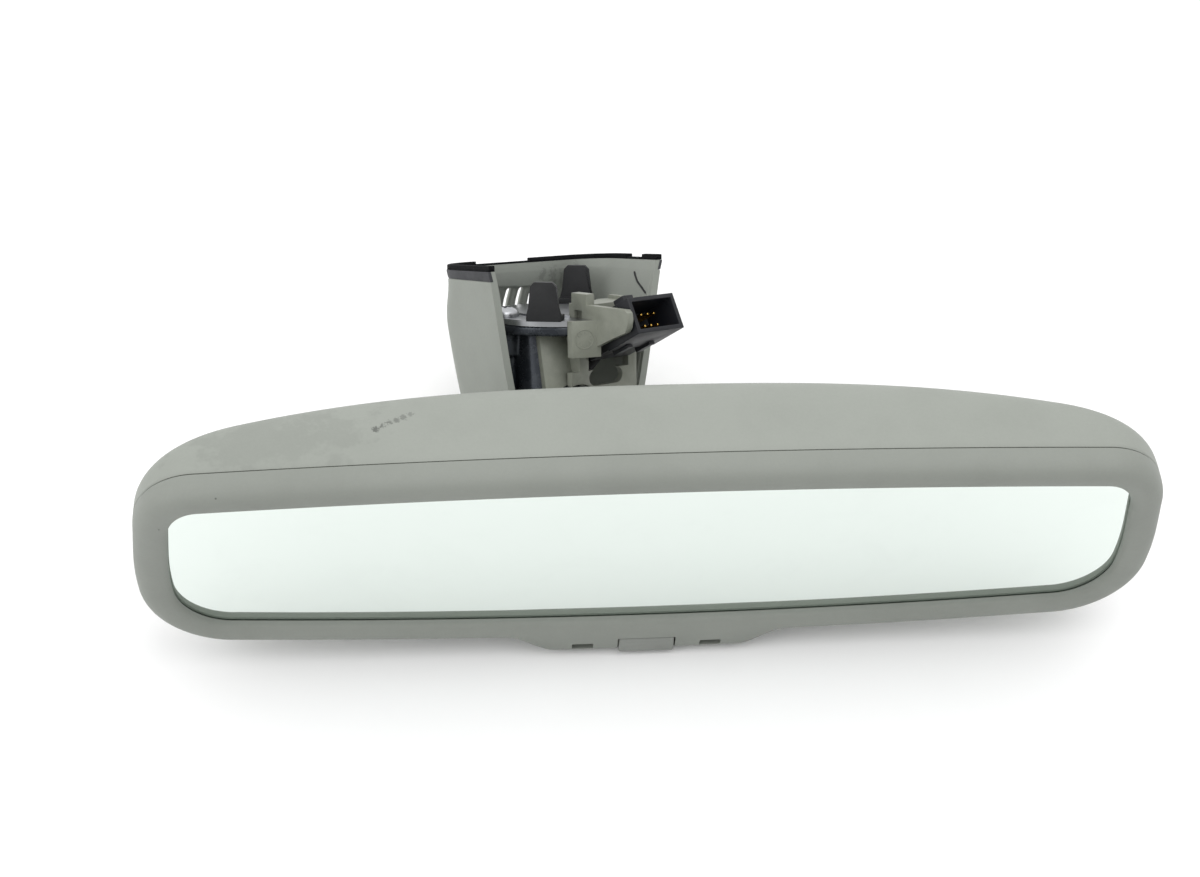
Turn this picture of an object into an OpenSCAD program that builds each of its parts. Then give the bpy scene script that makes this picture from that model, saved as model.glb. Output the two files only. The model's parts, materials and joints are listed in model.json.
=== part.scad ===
// Interior rearview mirror, auto-dimming head on a ball stud, with its windscreen bracket.
// Units are millimetres. The origin is the centre of the seat plate's top face.
// The head faces -Y, X runs along it and Z is up.

/* [Mirror opening] */
// Width of the visible glass
opening_w = 239; // [190:1:290]
// Height of the visible glass in the middle
opening_h = 56; // [46:1:70]
// How far the top edge falls towards each end
top_crown = 3.15; // [0:0.05:6]
// How far the bottom edge rises towards each end
bottom_crown = 4.95; // [0:0.05:8]
// Width and height of the upper corner curve
upper_corner = [8, 9]; // [6:1:14]
// Width and height of the lower corner curve
lower_corner = [14, 15.5]; // [10:0.5:24]
// Share of the width lost towards the top of the head
side_lean = 0.025; // [0:0.005:0.05]

/* [Bezel] */
// Bezel width at the ends
border_side = 8.8; // [7.5:0.1:12]
// Bezel width above and below the glass
border_top = 7.8; // [6.8:0.1:11]
// Depth from the lip plane to the seam with the rear housing
bezel_depth = 5.5; // [4.8:0.1:8]
// Wall of the housings
wall = 2.2; // [1.6:0.1:3]
// Depth of the chin under the bezel that carries the button
chin_drop = 6.0; // [5:0.1:9]
// Half width of the chin where it is full depth
chin_half = 24; // [20:1:32]
// Length of each sloping end of the chin
chin_ramp = 13; // [8:1:20]

/* [Rear housing] */
// Depth of the rear housing behind the seam, in the middle
housing_depth = 28; // [27:0.5:36]
// Share of the depth lost at each end
housing_arch = 0.50; // [0.2:0.05:0.7]
// Seam gap between bezel and rear housing
seam_gap = 0.3; // [0.2:0.1:0.8]
// Radius of the hole the neck comes through
neck_opening_r = 11.5; // [10:0.5:15]

/* [Glass and electronics] */
// Depth of the glass face behind the lip plane
glass_recess = 1.6; // [1.2:0.1:2.5]
// Thickness of each pane
pane_t = 2.0; // [1.6:0.1:2.4]
// Gap between the panes
cell_gap = 0.3; // [0.2:0.05:0.5]
// Thickness of the adhesive pad
pad_t = 1.0; // [0.6:0.1:1.6]
// Thickness of the backing plate
backing_t = 1.8; // [1.4:0.1:3]
// Thickness of the circuit board
board_t = 1.6; // [1:0.1:2]

/* [Button] */
// Width and height of the button
button_size = [14.6, 6.4]; // [5:0.1:18]
// Button travel
button_travel = 0.8; // [0.5:0.1:1.2]
// Gap round the button
button_gap = 0.3; // [0.2:0.05:0.5]

/* [Ball joint] */
// Radius of the ball
ball_r = 7.5; // [6.3:0.1:9]
// Distance of the ball centre behind the lip plane
ball_depth = 23; // [22:0.1:27]
// Height of the ball centre above the opening's middle
ball_rise = 2; // [-2:0.5:6]
// Thickness of the nylon liners
liner_t = 1.65; // [1.3:0.05:2]
// Radial running clearance of the ball joint
ball_clear = 0.05; // [0.02:0.01:0.1]
// Radius of the stud's neck
neck_r = 3.6; // [3:0.1:4]

/* [Bracket] */
// Turn of the bracket about the vertical, seen from above
bracket_yaw = 21; // [0:1:30]
// Roll of the bracket
bracket_roll = 18; // [0:1:25]
// Slope of the windscreen from the horizontal
screen_rake = 38; // [25:1:50]
// Distance from the seat to the ball along the slope
reach_back = 42.5; // [38:0.5:50]
// Distance from the seat to the ball, square to the windscreen
reach_down = 39; // [36:0.5:46]
// Radius of the seat plate
seat_r = 20; // [19:0.5:21]
// Thickness of the seat plate
seat_t = 2; // [1.5:0.1:3]
// Distance of each base screw from the middle
screw_offset = 17; // [15:0.5:18]
// Height of the bayonet hooks above the seat
hook_h = 9.8; // [8:0.1:12]

/* [Cover] */
// Fall of the rim towards its far side, per millimetre
rim_slope = 0.062; // [0:0.01:0.1]
// How far the far wall bulges out below the rim
cover_belly = 6; // [0:0.5:8]
// Half width of the cover at the windscreen
cover_half = 26.8; // [25:0.1:32]
// Distance from the middle to the outside of the cover's far wall
cover_far = 24; // [23.5:0.1:30]
// Distance from the middle to the cover's near edges
cover_near = 9; // [6:0.5:12]
// Wall of the cover
cover_wall = 2.0; // [1.4:0.1:2.4]
// Height of the cover's rim above the seat
rim_h = 12.6; // [11:0.1:15]
// Depth of the cover below the seat
cover_depth = 36; // [30:1:42]

/* [Connector] */
// Width and height of the connector body
plug_size = [16.3, 9.8]; // [8:0.1:20]
// Length of the connector body
plug_len = 22; // [18:0.5:26]
// Turn of the connector about the windscreen normal
plug_turn = 11.4; // [0:0.1:20]
// Upward pitch of the connector
plug_pitch = 26.8; // [15:0.1:35]

/* [Hidden] */

GREY = [0.62, 0.63, 0.60];
DARK = [0.10, 0.10, 0.11];
STEEL = [0.62, 0.63, 0.65];
e = 0.01;
over = 1;          // how far a cutter runs past what it cuts
fit_gap = 0.05;    // gap between parts that touch

half_w = opening_w / 2;
top_z = opening_h / 2;
z_ratio = border_top / border_side;
edge_pts = 28;
corner_pts = 11;

// ---- outline of the mirror opening, grown by g, with the chin pulled down by c ----
function top_at(x) = top_z - top_crown * pow(x / half_w, 2);
function bottom_at(x) = -top_z + bottom_crown * pow(x / half_w, 2);
function smooth(t) = t <= 0 ? 0 : t >= 1 ? 1 : t * t * (3 - 2 * t);
function chin_at(x) = smooth((chin_half + chin_ramp - abs(x)) / chin_ramp);
tc = [half_w - upper_corner[0], top_at(half_w - upper_corner[0]) - upper_corner[1]];
bc = [half_w - lower_corner[0], bottom_at(half_w - lower_corner[0]) + lower_corner[1]];
// the upper half runs left to right, the lower half right to left
function upper_half(g) = let (gz = g * z_ratio) concat(
    [for (i = [0 : corner_pts - 1]) let (a = 90 * i / (corner_pts - 1))
        [-tc[0] - (upper_corner[0] + g) * cos(a), tc[1] + (upper_corner[1] + gz) * sin(a)]],
    [for (i = [1 : edge_pts]) let (x = -tc[0] + 2 * tc[0] * i / (edge_pts + 1))
        [x, top_at(x) + gz]],
    [for (i = [corner_pts - 1 : -1 : 0]) let (a = 90 * i / (corner_pts - 1))
        [tc[0] + (upper_corner[0] + g) * cos(a), tc[1] + (upper_corner[1] + gz) * sin(a)]]);
function lower_half(g, c) = let (gz = g * z_ratio) concat(
    [for (i = [0 : corner_pts - 1]) let (a = 90 * i / (corner_pts - 1))
        [bc[0] + (lower_corner[0] + g) * cos(a), bc[1] - (lower_corner[1] + gz) * sin(a)]],
    [for (i = [1 : edge_pts]) let (x = bc[0] * lower_x(i))
        [x, bottom_at(x) - gz - c * chin_at(x)]],
    [for (i = [corner_pts - 1 : -1 : 0]) let (a = 90 * i / (corner_pts - 1))
        [-bc[0] - (lower_corner[0] + g) * cos(a), bc[1] - (lower_corner[1] + gz) * sin(a)]]);
// points of the lower edge crowd together where the chin is
function lower_x(i) = let (t = 1 - 2 * i / (edge_pts + 1)) sign(t) * pow(abs(t), 1.35);
// the sides lean in towards the top
function lean(p) = [p[0] * (1 - side_lean * smooth((p[1] + 6) / 34)), p[1]];
function outline(g, c = 0) = [for (p = concat(upper_half(g), lower_half(g, c))) lean(p)];

// ---- closed solid through a list of rings; loop joins the last ring to the first ----
function quad(a, b, n, i) = let (j = (i + 1) % n)
    [[a * n + i, b * n + i, b * n + j], [a * n + i, b * n + j, a * n + j]];
function strip_cap(k, n, flip) = [for (i = [0 : n / 2 - 2]) let (
    p = k * n + i, q = p + 1, r = k * n + n - 2 - i, s = r + 1)
    each flip ? [[p, q, r], [p, r, s]] : [[p, r, q], [p, s, r]]];
module skin(rings, loop) {
    n = len(rings[0]);
    m = len(rings);
    sides = [for (k = [0 : loop ? m - 1 : m - 2]) for (i = [0 : n - 1])
        each quad(k, (k + 1) % m, n, i)];
    caps = loop ? [] : concat(strip_cap(0, n, true), strip_cap(m - 1, n, false));
    polyhedron([for (r = rings) for (p = r) p], concat(sides, caps), 4);
}

// ---- placing ----
bow = [-screen_rake, bracket_roll, bracket_yaw];
function spin_x(p, a) = [p[0], p[1] * cos(a) - p[2] * sin(a), p[1] * sin(a) + p[2] * cos(a)];
function spin_y(p, a) = [p[0] * cos(a) + p[2] * sin(a), p[1], -p[0] * sin(a) + p[2] * cos(a)];
function spin_z(p, a) = [p[0] * cos(a) - p[1] * sin(a), p[0] * sin(a) + p[1] * cos(a), p[2]];
function to_row(p) = spin_z(spin_y(spin_x(p, bow[0]), bow[1]), bow[2]);
ball_at = [0, -reach_back, -reach_down];
head_at = to_row(ball_at) - [0, ball_depth, ball_rise];
module on_bracket() { rotate(bow) children(); }
module on_head() { translate(head_at) children(); }
module at_ball() { on_head() translate([0, ball_depth, ball_rise]) children(); }
// children drawn along Z come out along +Y, towards the windscreen
module facing_back() { rotate([-90, 0, 0]) children(); }
// a plate with the outline grown by g, between y0 and y1
module plate(g, y0, y1) {
    translate([0, y1, 0]) rotate([90, 0, 0]) linear_extrude(y1 - y0) polygon(outline(g));
}
module box(lo, hi) { translate(lo) cube(hi - lo); }

// ---- depths through the head, from the lip plane back ----
pane1_y = glass_recess;
pane2_y = pane1_y + pane_t + cell_gap;
pad_y = pane2_y + pane_t;
backing_y = pad_y + pad_t;
backing_end = backing_y + backing_t;
board_y = backing_end + 2.3;
board_end = board_y + board_t;
pane_grow = 2.2;
pocket_grow = 2.5;
pocket_wall = 1.4;
ledge_y = glass_recess - 0.2;
button_z = -top_z - border_top - chin_drop + 1.4 + button_size[1] / 2 + 0.2;
window_x = 16.8;
window_size = [5.6, 2.8];
window_z = button_z + 0.2;

// bezel section: [growth, depth, share of the chin, share of the chin's forward swell]
lip_front = -1.8;
chin_swell = 1.0;
side_wall = border_side - wall;
bezel_section = [
    [0, 0.3, 0, 0], [0.3, -0.5, 0, 0], [1.4, -1.3, 0, 0.1], [3.4, lip_front, 0.12, 0.5],
    [5.6, lip_front + 0.3, 0.55, 1], [7.4, -0.2, 0.87, 1.2], [border_side - 0.3, 2.0, 1, 0.6],
    [border_side, bezel_depth, 1, 0], [side_wall, bezel_depth, 1, 0],
    [side_wall - 0.2, ledge_y + 0.9, 1, 0], [pocket_grow + pocket_wall, ledge_y, 0.1, 0],
    [pocket_grow + pocket_wall, backing_y + 1.2, 0, 0], [pocket_grow, backing_y + 1.2, 0, 0],
    [pocket_grow, ledge_y, 0, 0], [0.3, ledge_y, 0, 0], [0, ledge_y - 0.3, 0, 0]];
function bezel_ring(s) = [for (p = outline(s[0], chin_drop * s[2]))
    [p[0], s[1] - (p[1] < 0 ? chin_swell * s[3] * chin_at(p[0]) : 0), p[1]]];

module bezel() {
    color(GREY) on_head() difference() {
        skin([for (s = bezel_section) bezel_ring(s)], true);
        translate([0, 0, button_z]) box(
            [-button_size[0] / 2 - button_gap, -over - 4, -button_size[1] / 2 - button_gap],
            [button_size[0] / 2 + button_gap, ledge_y + 2.4, button_size[1] / 2 + button_gap]);
        for (side = [-1, 1]) translate([side * window_x, 0, window_z]) box(
            [-window_size[0] / 2, -over - 4, -window_size[1] / 2],
            [window_size[0] / 2, ledge_y + 2.4, window_size[1] / 2]);
    }
}

// ---- rear housing: a boxy dome that is shallower towards its ends ----
seam_y = bezel_depth + seam_gap;
dome_pow = 0.4;
dome_steps = [0, 10, 20, 31, 42, 53, 64, 73, 80];
function dome_depth(x, d) = d * (1 - housing_arch * pow(abs(x) / half_w, 3));
function dome_ring(g, a, d) = let (s = pow(cos(a), dome_pow), f = pow(sin(a), dome_pow))
    [for (p = outline(g, chin_drop * pow(cos(a), 1.6)))
        [p[0] * s, seam_y + (a == 0 ? 0 : f * dome_depth(p[0] * s, d)), p[1] * s]];
function flat_ring(g, y) = [for (p = outline(g, chin_drop)) [p[0], y, p[1]]];
tongue_out = side_wall - 0.4;
tongue_in = tongue_out - 1.2;
tongue_y = ledge_y + 1.6;
ambient_x = 26;
ambient_z = -22;
ambient_r = 2.9;

module rear_housing() {
    last = len(dome_steps) - 1;
    color(GREY) on_head() difference() {
        skin(concat(
            [for (k = [last : -1 : 1]) dome_ring(tongue_out, dome_steps[k], housing_depth - wall)],
            [flat_ring(tongue_out, seam_y + 2), flat_ring(tongue_in, seam_y + 1.2),
                flat_ring(tongue_in, tongue_y),
                flat_ring(tongue_out, tongue_y), flat_ring(tongue_out, seam_y)],
            [for (k = [0 : last]) dome_ring(border_side, dome_steps[k], housing_depth)]), false);
        translate([0, seam_y, ball_rise]) facing_back()
            cylinder(r = neck_opening_r, h = housing_depth + over, $fn = 96);
        translate([ambient_x, seam_y, ambient_z]) facing_back()
            cylinder(r = ambient_r + 0.1, h = housing_depth + over, $fn = 48);
    }
}

// ---- dimming glass ----
module front_glass() {
    color([0.75, 0.82, 0.79, 0.5]) on_head() plate(pane_grow, pane1_y, pane1_y + pane_t);
}
module cell_seal() {
    color(DARK) on_head() difference() {
        plate(1.2, pane1_y + pane_t, pane2_y);
        plate(-1.2, pane1_y + pane_t - over, pane2_y + over);
    }
}
module rear_glass() {
    color([0.85, 0.88, 0.87]) on_head() plate(1.4, pane2_y, pad_y);
}
strip_len = 60;
strip_w = 2.4;
strip_t = 0.25;
module electrode_strips() {
    color([0.80, 0.52, 0.30]) on_head() for (z = [top_z - 3.4, -top_z + 3.4])
        translate([0, 0, z]) box([-strip_len / 2, pad_y + fit_gap / 2, -strip_w / 2],
            [strip_len / 2, pad_y + fit_gap / 2 + strip_t, strip_w / 2]);
}
module glass_pad() {
    color(DARK) on_head() plate(-5.8, pad_y, backing_y);
}

// ---- backing plate with the bosses that hold the socket and the board ----
socket_pitch = 23;
boss_r = 3.2;
m3_r = 1.5;
board_hole = [33, -18];
flange_gap = 0.4;
plate_t = 1.1;
flange_front = ball_depth - flange_gap / 2 - plate_t;
module socket_corners() {
    for (x = [-1, 1], z = [-1, 1])
        translate([x * socket_pitch / 2, 0, ball_rise + z * socket_pitch / 2]) children();
}
module board_corners() {
    for (side = [-1, 1]) translate([side * board_hole[0], 0, board_hole[1]]) children();
}
module backing_plate() {
    color(DARK) on_head() difference() {
        union() {
            plate(pane_grow, backing_y, backing_end);
            socket_corners() translate([0, backing_end - e, 0]) facing_back()
                cylinder(r = boss_r, h = flange_front - backing_end + e, $fn = 40);
            board_corners() translate([0, backing_end - e, 0]) facing_back()
                cylinder(r = 2.4, h = board_y - backing_end + e, $fn = 36);
        }
        socket_corners() translate([0, backing_end, 0]) facing_back()
            cylinder(r = m3_r + fit_gap, h = flange_front, $fn = 32);
        board_corners() translate([0, backing_y + 0.6, 0]) facing_back()
            cylinder(r = 0.9, h = board_y, $fn = 24);
    }
}

// ---- circuit board and what is on it ----
board_half = 38;
board_top = -14.5;
board_low = -31;
tongue_half = 21;
tongue_low = button_z - 1.6;
module circuit_board() {
    color([0.05, 0.25, 0.14]) on_head() difference() {
        union() {
            box([-board_half, board_y, board_low], [board_half, board_end, board_top]);
            box([-tongue_half, board_y, tongue_low], [tongue_half, board_end, board_low + e]);
        }
        board_corners() translate([0, board_y - over, 0]) facing_back()
            cylinder(r = 1.2, h = board_t + 2 * over, $fn = 28);
    }
}
module on_board(x, z) { translate([x, board_end + fit_gap / 2, z]) children(); }
module board_parts() {
    color(DARK) on_head() {
        on_board(12, -21) box([-4.5, 0, -4.5], [4.5, 1.4, 4.5]);
        on_board(-24, -21) box([-2.6, 0, -2], [2.6, 1.5, 2]);
        on_board(-24, -27.5) box([-3.2, 0, -1.8], [3.2, 2.2, 1.8]);
        for (x = [-33, 33]) on_board(x, -25.5) facing_back() cylinder(r = 2.5, h = 5.4, $fn = 40);
        for (i = [0 : 4]) on_board(-14 + 3 * i, -28.6) box([-0.6, 0, -0.9], [0.6, 0.6, 0.9]);
        for (i = [0 : 3]) on_board(20.5, -17 - 2.6 * i) box([-1, 0, -0.6], [1, 0.6, 0.6]);
    }
}
module board_screws() {
    color(STEEL) on_head() board_corners() {
        translate([0, backing_end - 0.6, 0]) facing_back()
            cylinder(r = 0.85, h = board_end - backing_end + 0.6 + e, $fn = 24);
        translate([0, board_end + fit_gap / 2, 0]) facing_back()
            cylinder(r = 2, h = 1.3, $fn = 32);
    }
}
header_x = -4;
header_z = -18.6;
header_half = [4.6, 2.2];
module board_header() {
    color([0.85, 0.83, 0.76]) on_head() on_board(header_x, header_z) difference() {
        box([-header_half[0], 0, -header_half[1]], [header_half[0], 5.4, header_half[1]]);
        box([-header_half[0] + 0.9, 1.2, -header_half[1] + 0.9],
            [header_half[0] - 0.9, 5.4 + over, header_half[1] - 0.9]);
    }
}
module harness_plug() {
    color([0.80, 0.78, 0.70]) on_head() on_board(header_x, header_z) union() {
        box([-header_half[0] + 1, 2.4, -header_half[1] + 1],
            [header_half[0] - 1, 6.4, header_half[1] - 1]);
        box([-header_half[0] + 0.4, 5.5, -header_half[1]],
            [header_half[0] - 0.4, 7.6, header_half[1]]);
    }
}
switch_half = [3.1, 1.9];
switch_face = board_y - 3.1;
plunger_r = 1.4;
module dim_switch() {
    color(DARK) on_head() translate([0, 0, button_z]) difference() {
        box([-switch_half[0], switch_face, -switch_half[1]],
            [switch_half[0], board_y - fit_gap / 2, switch_half[1]]);
        translate([0, switch_face - over, 0]) facing_back()
            cylinder(r = plunger_r + 0.1, h = over + 2.6, $fn = 32);
    }
}
window_back = ledge_y + 3.4;
module window_block(side) {
    translate([side * window_x, 0, window_z]) {
        box([-window_size[0] / 2 - 0.8, ledge_y + 2.5, -window_size[1] / 2 + 0.2],
            [window_size[0] / 2 + 0.8, window_back, window_size[1] / 2 + 0.4]);
    }
}
module board_lamp(side, r) {
    translate([side * window_x, window_back + 0.2, window_z]) facing_back()
        cylinder(r = r, h = board_y - window_back - 0.2 - fit_gap / 2, $fn = 32);
}
module glare_window() { color([0.16, 0.14, 0.18]) on_head() window_block(-1); }
module glare_sensor() { color([0.1, 0.1, 0.1]) on_head() board_lamp(-1, 1.5); }
module status_window() { color([0.20, 0.22, 0.20]) on_head() window_block(1); }
module status_led() { color([0.75, 0.80, 0.75]) on_head() board_lamp(1, 1.5); }
module ambient_sensor() {
    color([0.1, 0.1, 0.1]) on_head() on_board(ambient_x, ambient_z) facing_back()
        cylinder(r = 2.4, h = 4.6, $fn = 36);
}
module ambient_light_pipe() {
    pipe_y = board_end + 5.2;
    color([0.75, 0.78, 0.76]) on_head() translate([ambient_x, pipe_y, ambient_z]) facing_back()
        cylinder(r = ambient_r, h = seam_y + dome_depth(ambient_x, housing_depth) - 0.6 - pipe_y,
            $fn = 48);
}

// ---- button ----
button_back = ledge_y + 4;
button_foot = 0.9;
stem_end = switch_face - 1.2;
module button() {
    color([0.46, 0.47, 0.44]) on_head() translate([0, 0, button_z]) union() {
        box([-button_size[0] / 2, lip_front - 0.7, -button_size[1] / 2],
            [button_size[0] / 2, tongue_y - button_travel - 0.3, button_size[1] / 2]);
        box([-button_size[0] / 2 + 1, lip_front, -button_foot],
            [button_size[0] / 2 - 1, button_back, button_foot]);
        box([-button_size[0] / 2 - 1.4, ledge_y + 2.8, -button_foot],
            [button_size[0] / 2 + 1.4, button_back, button_size[1] / 2 - 0.4]);
        translate([0, button_back - e, 0]) facing_back()
            cylinder(r = plunger_r, h = stem_end - button_back + e, $fn = 32);
    }
}
module switch_plunger() {
    color([0.75, 0.72, 0.68]) on_head() translate([0, stem_end + fit_gap / 2, button_z])
        facing_back() cylinder(r = plunger_r, h = 1.2 + 1.4, $fn = 32);
}

// ---- ball joint, drawn round the ball's centre with its axis on the head's Y ----
liner_in = ball_r + ball_clear;
liner_out = liner_in + liner_t;
socket_in = liner_out + ball_clear;
socket_out = socket_in + plate_t;
neck_swing = 27;
rear_hole = neck_swing + asin(neck_r / liner_in) + 1;
front_hole = 28;
pole_r = 3.4;
// shell of a sphere between two angles from its pole
function arc_pts(r, a0, a1) = [for (i = [0 : 12]) let (a = a0 + (a1 - a0) * i / 12)
    [r * sin(a), r * cos(a)]];
module cup(r0, r1, a0, a1) {
    rotate_extrude($fn = 72) polygon(concat(arc_pts(r1, a0, a1), arc_pts(r0, a1, a0)));
}
module ball_liner_rear() {
    color([0.90, 0.88, 0.82]) at_ball() facing_back() cup(liner_in, liner_out, rear_hole, 88.8);
}
module ball_liner_front() {
    color([0.90, 0.88, 0.82]) at_ball() facing_back()
        mirror([0, 0, 1]) cup(liner_in, liner_out, front_hole, 88.8);
}
module socket_plate_half(hole_a) {
    flange_r = socket_pitch / 2 * sqrt(2) + 3.4;
    flange_half = socket_pitch / 2 + 3.3;
    seat_a = acos((flange_gap / 2 + plate_t / 2) / socket_out);
    difference() {
        union() {
            cup(socket_in, socket_out, hole_a, seat_a);
            translate([0, 0, flange_gap / 2]) intersection() {
                cylinder(r = flange_r, h = plate_t, $fn = 72);
                box([-flange_half, -flange_half, 0], [flange_half, flange_half, plate_t]);
            }
        }
        sphere(r = socket_in, $fn = 96);
        for (x = [-1, 1], z = [-1, 1])
            translate([x * socket_pitch / 2, z * socket_pitch / 2, 0])
                cylinder(r = m3_r + 0.15, h = 2 * plate_t, $fn = 32);
    }
}
module front_socket_plate() {
    color(STEEL) at_ball() rotate([90, 0, 0]) socket_plate_half(asin(pole_r / socket_in));
}
module rear_socket_plate() {
    color(STEEL) at_ball() facing_back() socket_plate_half(rear_hole);
}
spring_y = ball_depth + flange_gap / 2 + plate_t;
spring_h = 3.9;
module socket_screws() {
    color(STEEL) on_head() socket_corners() {
        translate([0, backing_end + 0.8, 0]) facing_back()
            cylinder(r = m3_r, h = spring_y + spring_h - backing_end - 0.8 + e, $fn = 32);
        translate([0, spring_y + spring_h, 0]) facing_back()
            cylinder(r = 2.9, h = 1.6, $fn = 36);
    }
}
coil_r = 2.3;
wire_r = 0.32;
turns = 3.5;
coil_steps = 42;
module coil() {
    rise = spring_h - 2 * wire_r - 0.1;
    skin([for (k = [0 : coil_steps]) let (
        a = 360 * turns * k / coil_steps, z = wire_r + 0.05 + rise * k / coil_steps)
        [for (i = [0 : 7]) let (b = -45 * i, r = coil_r + wire_r * cos(b))
            [r * cos(a), r * sin(a), z + wire_r * sin(b)]]], false);
}
module preload_springs() {
    color(STEEL) on_head() socket_corners() translate([0, spring_y, 0]) facing_back() coil();
}
bore_r = 2.2;
neck_dir = [0, cos(screen_rake), sin(screen_rake)];
collar_from = 16.5;
stem_to = 23.5;
module on_neck() { on_bracket() translate(ball_at) rotate([screen_rake - 90, 0, 0]) children(); }
module ball_stud() {
    color(STEEL) on_neck() difference() {
        union() {
            sphere(r = ball_r, $fn = 96);
            cylinder(r = neck_r, h = stem_to, $fn = 48);
        }
        translate([0, 0, -over]) cylinder(r = bore_r, h = stem_to + 2 * over, $fn = 40);
        translate([0, 0, -ball_r - over])
            cylinder(r1 = 6.8, r2 = bore_r, h = ball_r + over + e, $fn = 60);
    }
}

// ---- round tube of radius r along a smooth curve through the points of a way ----
function unit(v) = v / norm(v);
function heading(s, k) = unit(s[min(k + 1, len(s) - 1)] - s[max(k - 1, 0)]);
function tube_ring(s, k, r, n) = let (
    t = heading(s, k), side = unit([1, 0, 0] - t * t[0]), up = cross(side, t))
    [for (i = [0 : n - 1]) let (a = -360 * i / n) s[k] + side * r * cos(a) + up * r * sin(a)];
module tube(s, r, n) { skin([for (k = [0 : len(s) - 1]) tube_ring(s, k, r, n)], false); }
function mix(a, b, t) = a + (b - a) * t;
function blend4(p0, p1, p2, p3, t) = 0.5 * (2 * p1 + (p2 - p0) * t
    + (2 * p0 - 5 * p1 + 4 * p2 - p3) * t * t + (3 * p1 - p0 - 3 * p2 + p3) * t * t * t);
function smoothed(s, m) = let (n = len(s) - 1) concat(
    [for (k = [0 : n - 1], j = [0 : m - 1])
        blend4(s[max(k - 1, 0)], s[k], s[k + 1], s[min(k + 2, n)], j / m)], [s[n]]);

// ---- arm: flange, post and elbow down to the stud ----
flange_t = 2.5;
flange_top = -seat_t - fit_gap;
flange_low = flange_top - flange_t;
neck_pt = ball_at + neck_dir * collar_from;
post_at = [-7.2, 0];
elbow = [-7.4, -5, -26.4];
stem_foot = neck_pt + neck_dir * 6.8;
post_r = 8;
elbow_r = 8.1;
foot_r = 6.2;
collar_r = 5.7;
joint_swell = 0.4;
arm_wall = 2.4;
screw_boss_r = 3.6;
screw_boss_low = -10.9;
// post, elbow and tapering lower arm; grow is positive for clearances, negative for the bore
module arm_form(grow, top) {
    post = [post_at[0], post_at[1], top];
    bar_along(elbow, post, post_r + grow, post_r + grow, 48);
    translate(elbow) sphere(r = elbow_r + joint_swell + grow, $fn = 48);
    bar_along(elbow, stem_foot, elbow_r + grow, foot_r + grow, 48);
    translate(stem_foot) sphere(r = foot_r + joint_swell + grow, $fn = 48);
}
window_from = [7, -9, -16];
window_to = [-8, 0, -19];
module bar_along(p, q, r1, r2, n) {
    d = q - p;
    translate(p) rotate([0, acos(d[2] / norm(d)), atan2(d[1], d[0])])
        cylinder(r1 = r1, r2 = r2, h = norm(d), $fn = n);
}
module carrier_notch(grow) {
    rotate([0, 0, plug_turn]) box([-6.4 - grow, -seat_r - over, -8], [seat_r, -9.6 + grow, 9]);
}
module screw_places() { for (side = [-1, 1]) translate([side * screw_offset, 0, 0]) children(); }
// flat rib from the post to the boss on its left
rib_t = 3;
module arm_rib() {
    translate([0, rib_t / 2, 0]) rotate([90, 0, 0]) linear_extrude(rib_t)
        polygon([[-19.4, flange_low + e], [-8, flange_low + e], [-8, -25], [-15.4, -25],
            [-19.4, -12]]);
}
module arm() {
    color([0.20, 0.21, 0.22]) on_bracket() difference() {
        union() {
            difference() {
                translate([0, 0, flange_low]) cylinder(r = seat_r, h = flange_t, $fn = 96);
                carrier_notch(0);
            }
            arm_form(0, flange_low + 0.6);
            bar_along(stem_foot, neck_pt, foot_r, collar_r, 48);
            screw_places() translate([0, 0, screw_boss_low])
                cylinder(r = screw_boss_r, h = flange_low - screw_boss_low + e, $fn = 40);
            arm_rib();
        }
        arm_form(-arm_wall, flange_low - 1.5);
        bar_along(window_from, window_to, 3.3, 3.3, 40);
        translate(ball_at) rotate([screen_rake - 90, 0, 0]) translate([0, 0, collar_from - over])
            cylinder(r = neck_r + fit_gap, h = stem_to - collar_from + over + 0.6, $fn = 48);
        screw_places() translate([0, 0, screw_boss_low + 0.4])
            cylinder(r = 2.1, h = flange_top - screw_boss_low + over, $fn = 36);
    }
}

// ---- seat plate, hooks and screws ----
land_r = 12.5;   // raised middle that the foot rests on
land_h = 0.5;
rim_top = fit_gap - land_h;
module seat_plate() {
    color(STEEL) on_bracket() difference() {
        union() {
            translate([0, 0, -seat_t]) cylinder(r = seat_r, h = seat_t - land_h, $fn = 96);
            translate([0, 0, -seat_t]) cylinder(r = land_r, h = seat_t, $fn = 96);
        }
        carrier_notch(0);
        screw_places() translate([0, 0, -seat_t - over])
            cylinder(r = 2.1, h = seat_t + 2 * over, $fn = 36);
    }
}
hook_turn = 227.7;
hook_t = 1.5;
module hook() {
    // radial slice: foot on the plate, lip over its rim, upright tongue
    translate([seat_r + 0.1, 0, 0]) rotate([90, 0, 90]) linear_extrude(hook_t)
        polygon([[-4.6, rim_top], [4.6, rim_top], [4.6, 1.2], [4.05, 3], [3.45, hook_h - 1.1],
            [2.4, hook_h], [-2.4, hook_h], [-3.45, hook_h - 1.1], [-4.05, 3], [-4.6, 1.2]]);
    box([seat_r - 4.2, -4.4, rim_top], [seat_r + 0.6, 4.4, 1]);
}
module bayonet_hooks() {
    color(DARK) on_bracket() for (turn = [0, 180]) rotate([0, 0, hook_turn + turn]) hook();
}
module base_screws() {
    color(STEEL) on_bracket() screw_places() rotate_extrude($fn = 48) polygon([
        [0, 2.2], [1.6, 2.05], [2.8, 1.5], [3.5, 0.6], [3.6, rim_top],
        [1.95, rim_top], [1.95, -9.4], [1.2, -10.2], [0, -10.2]]);
}

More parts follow.
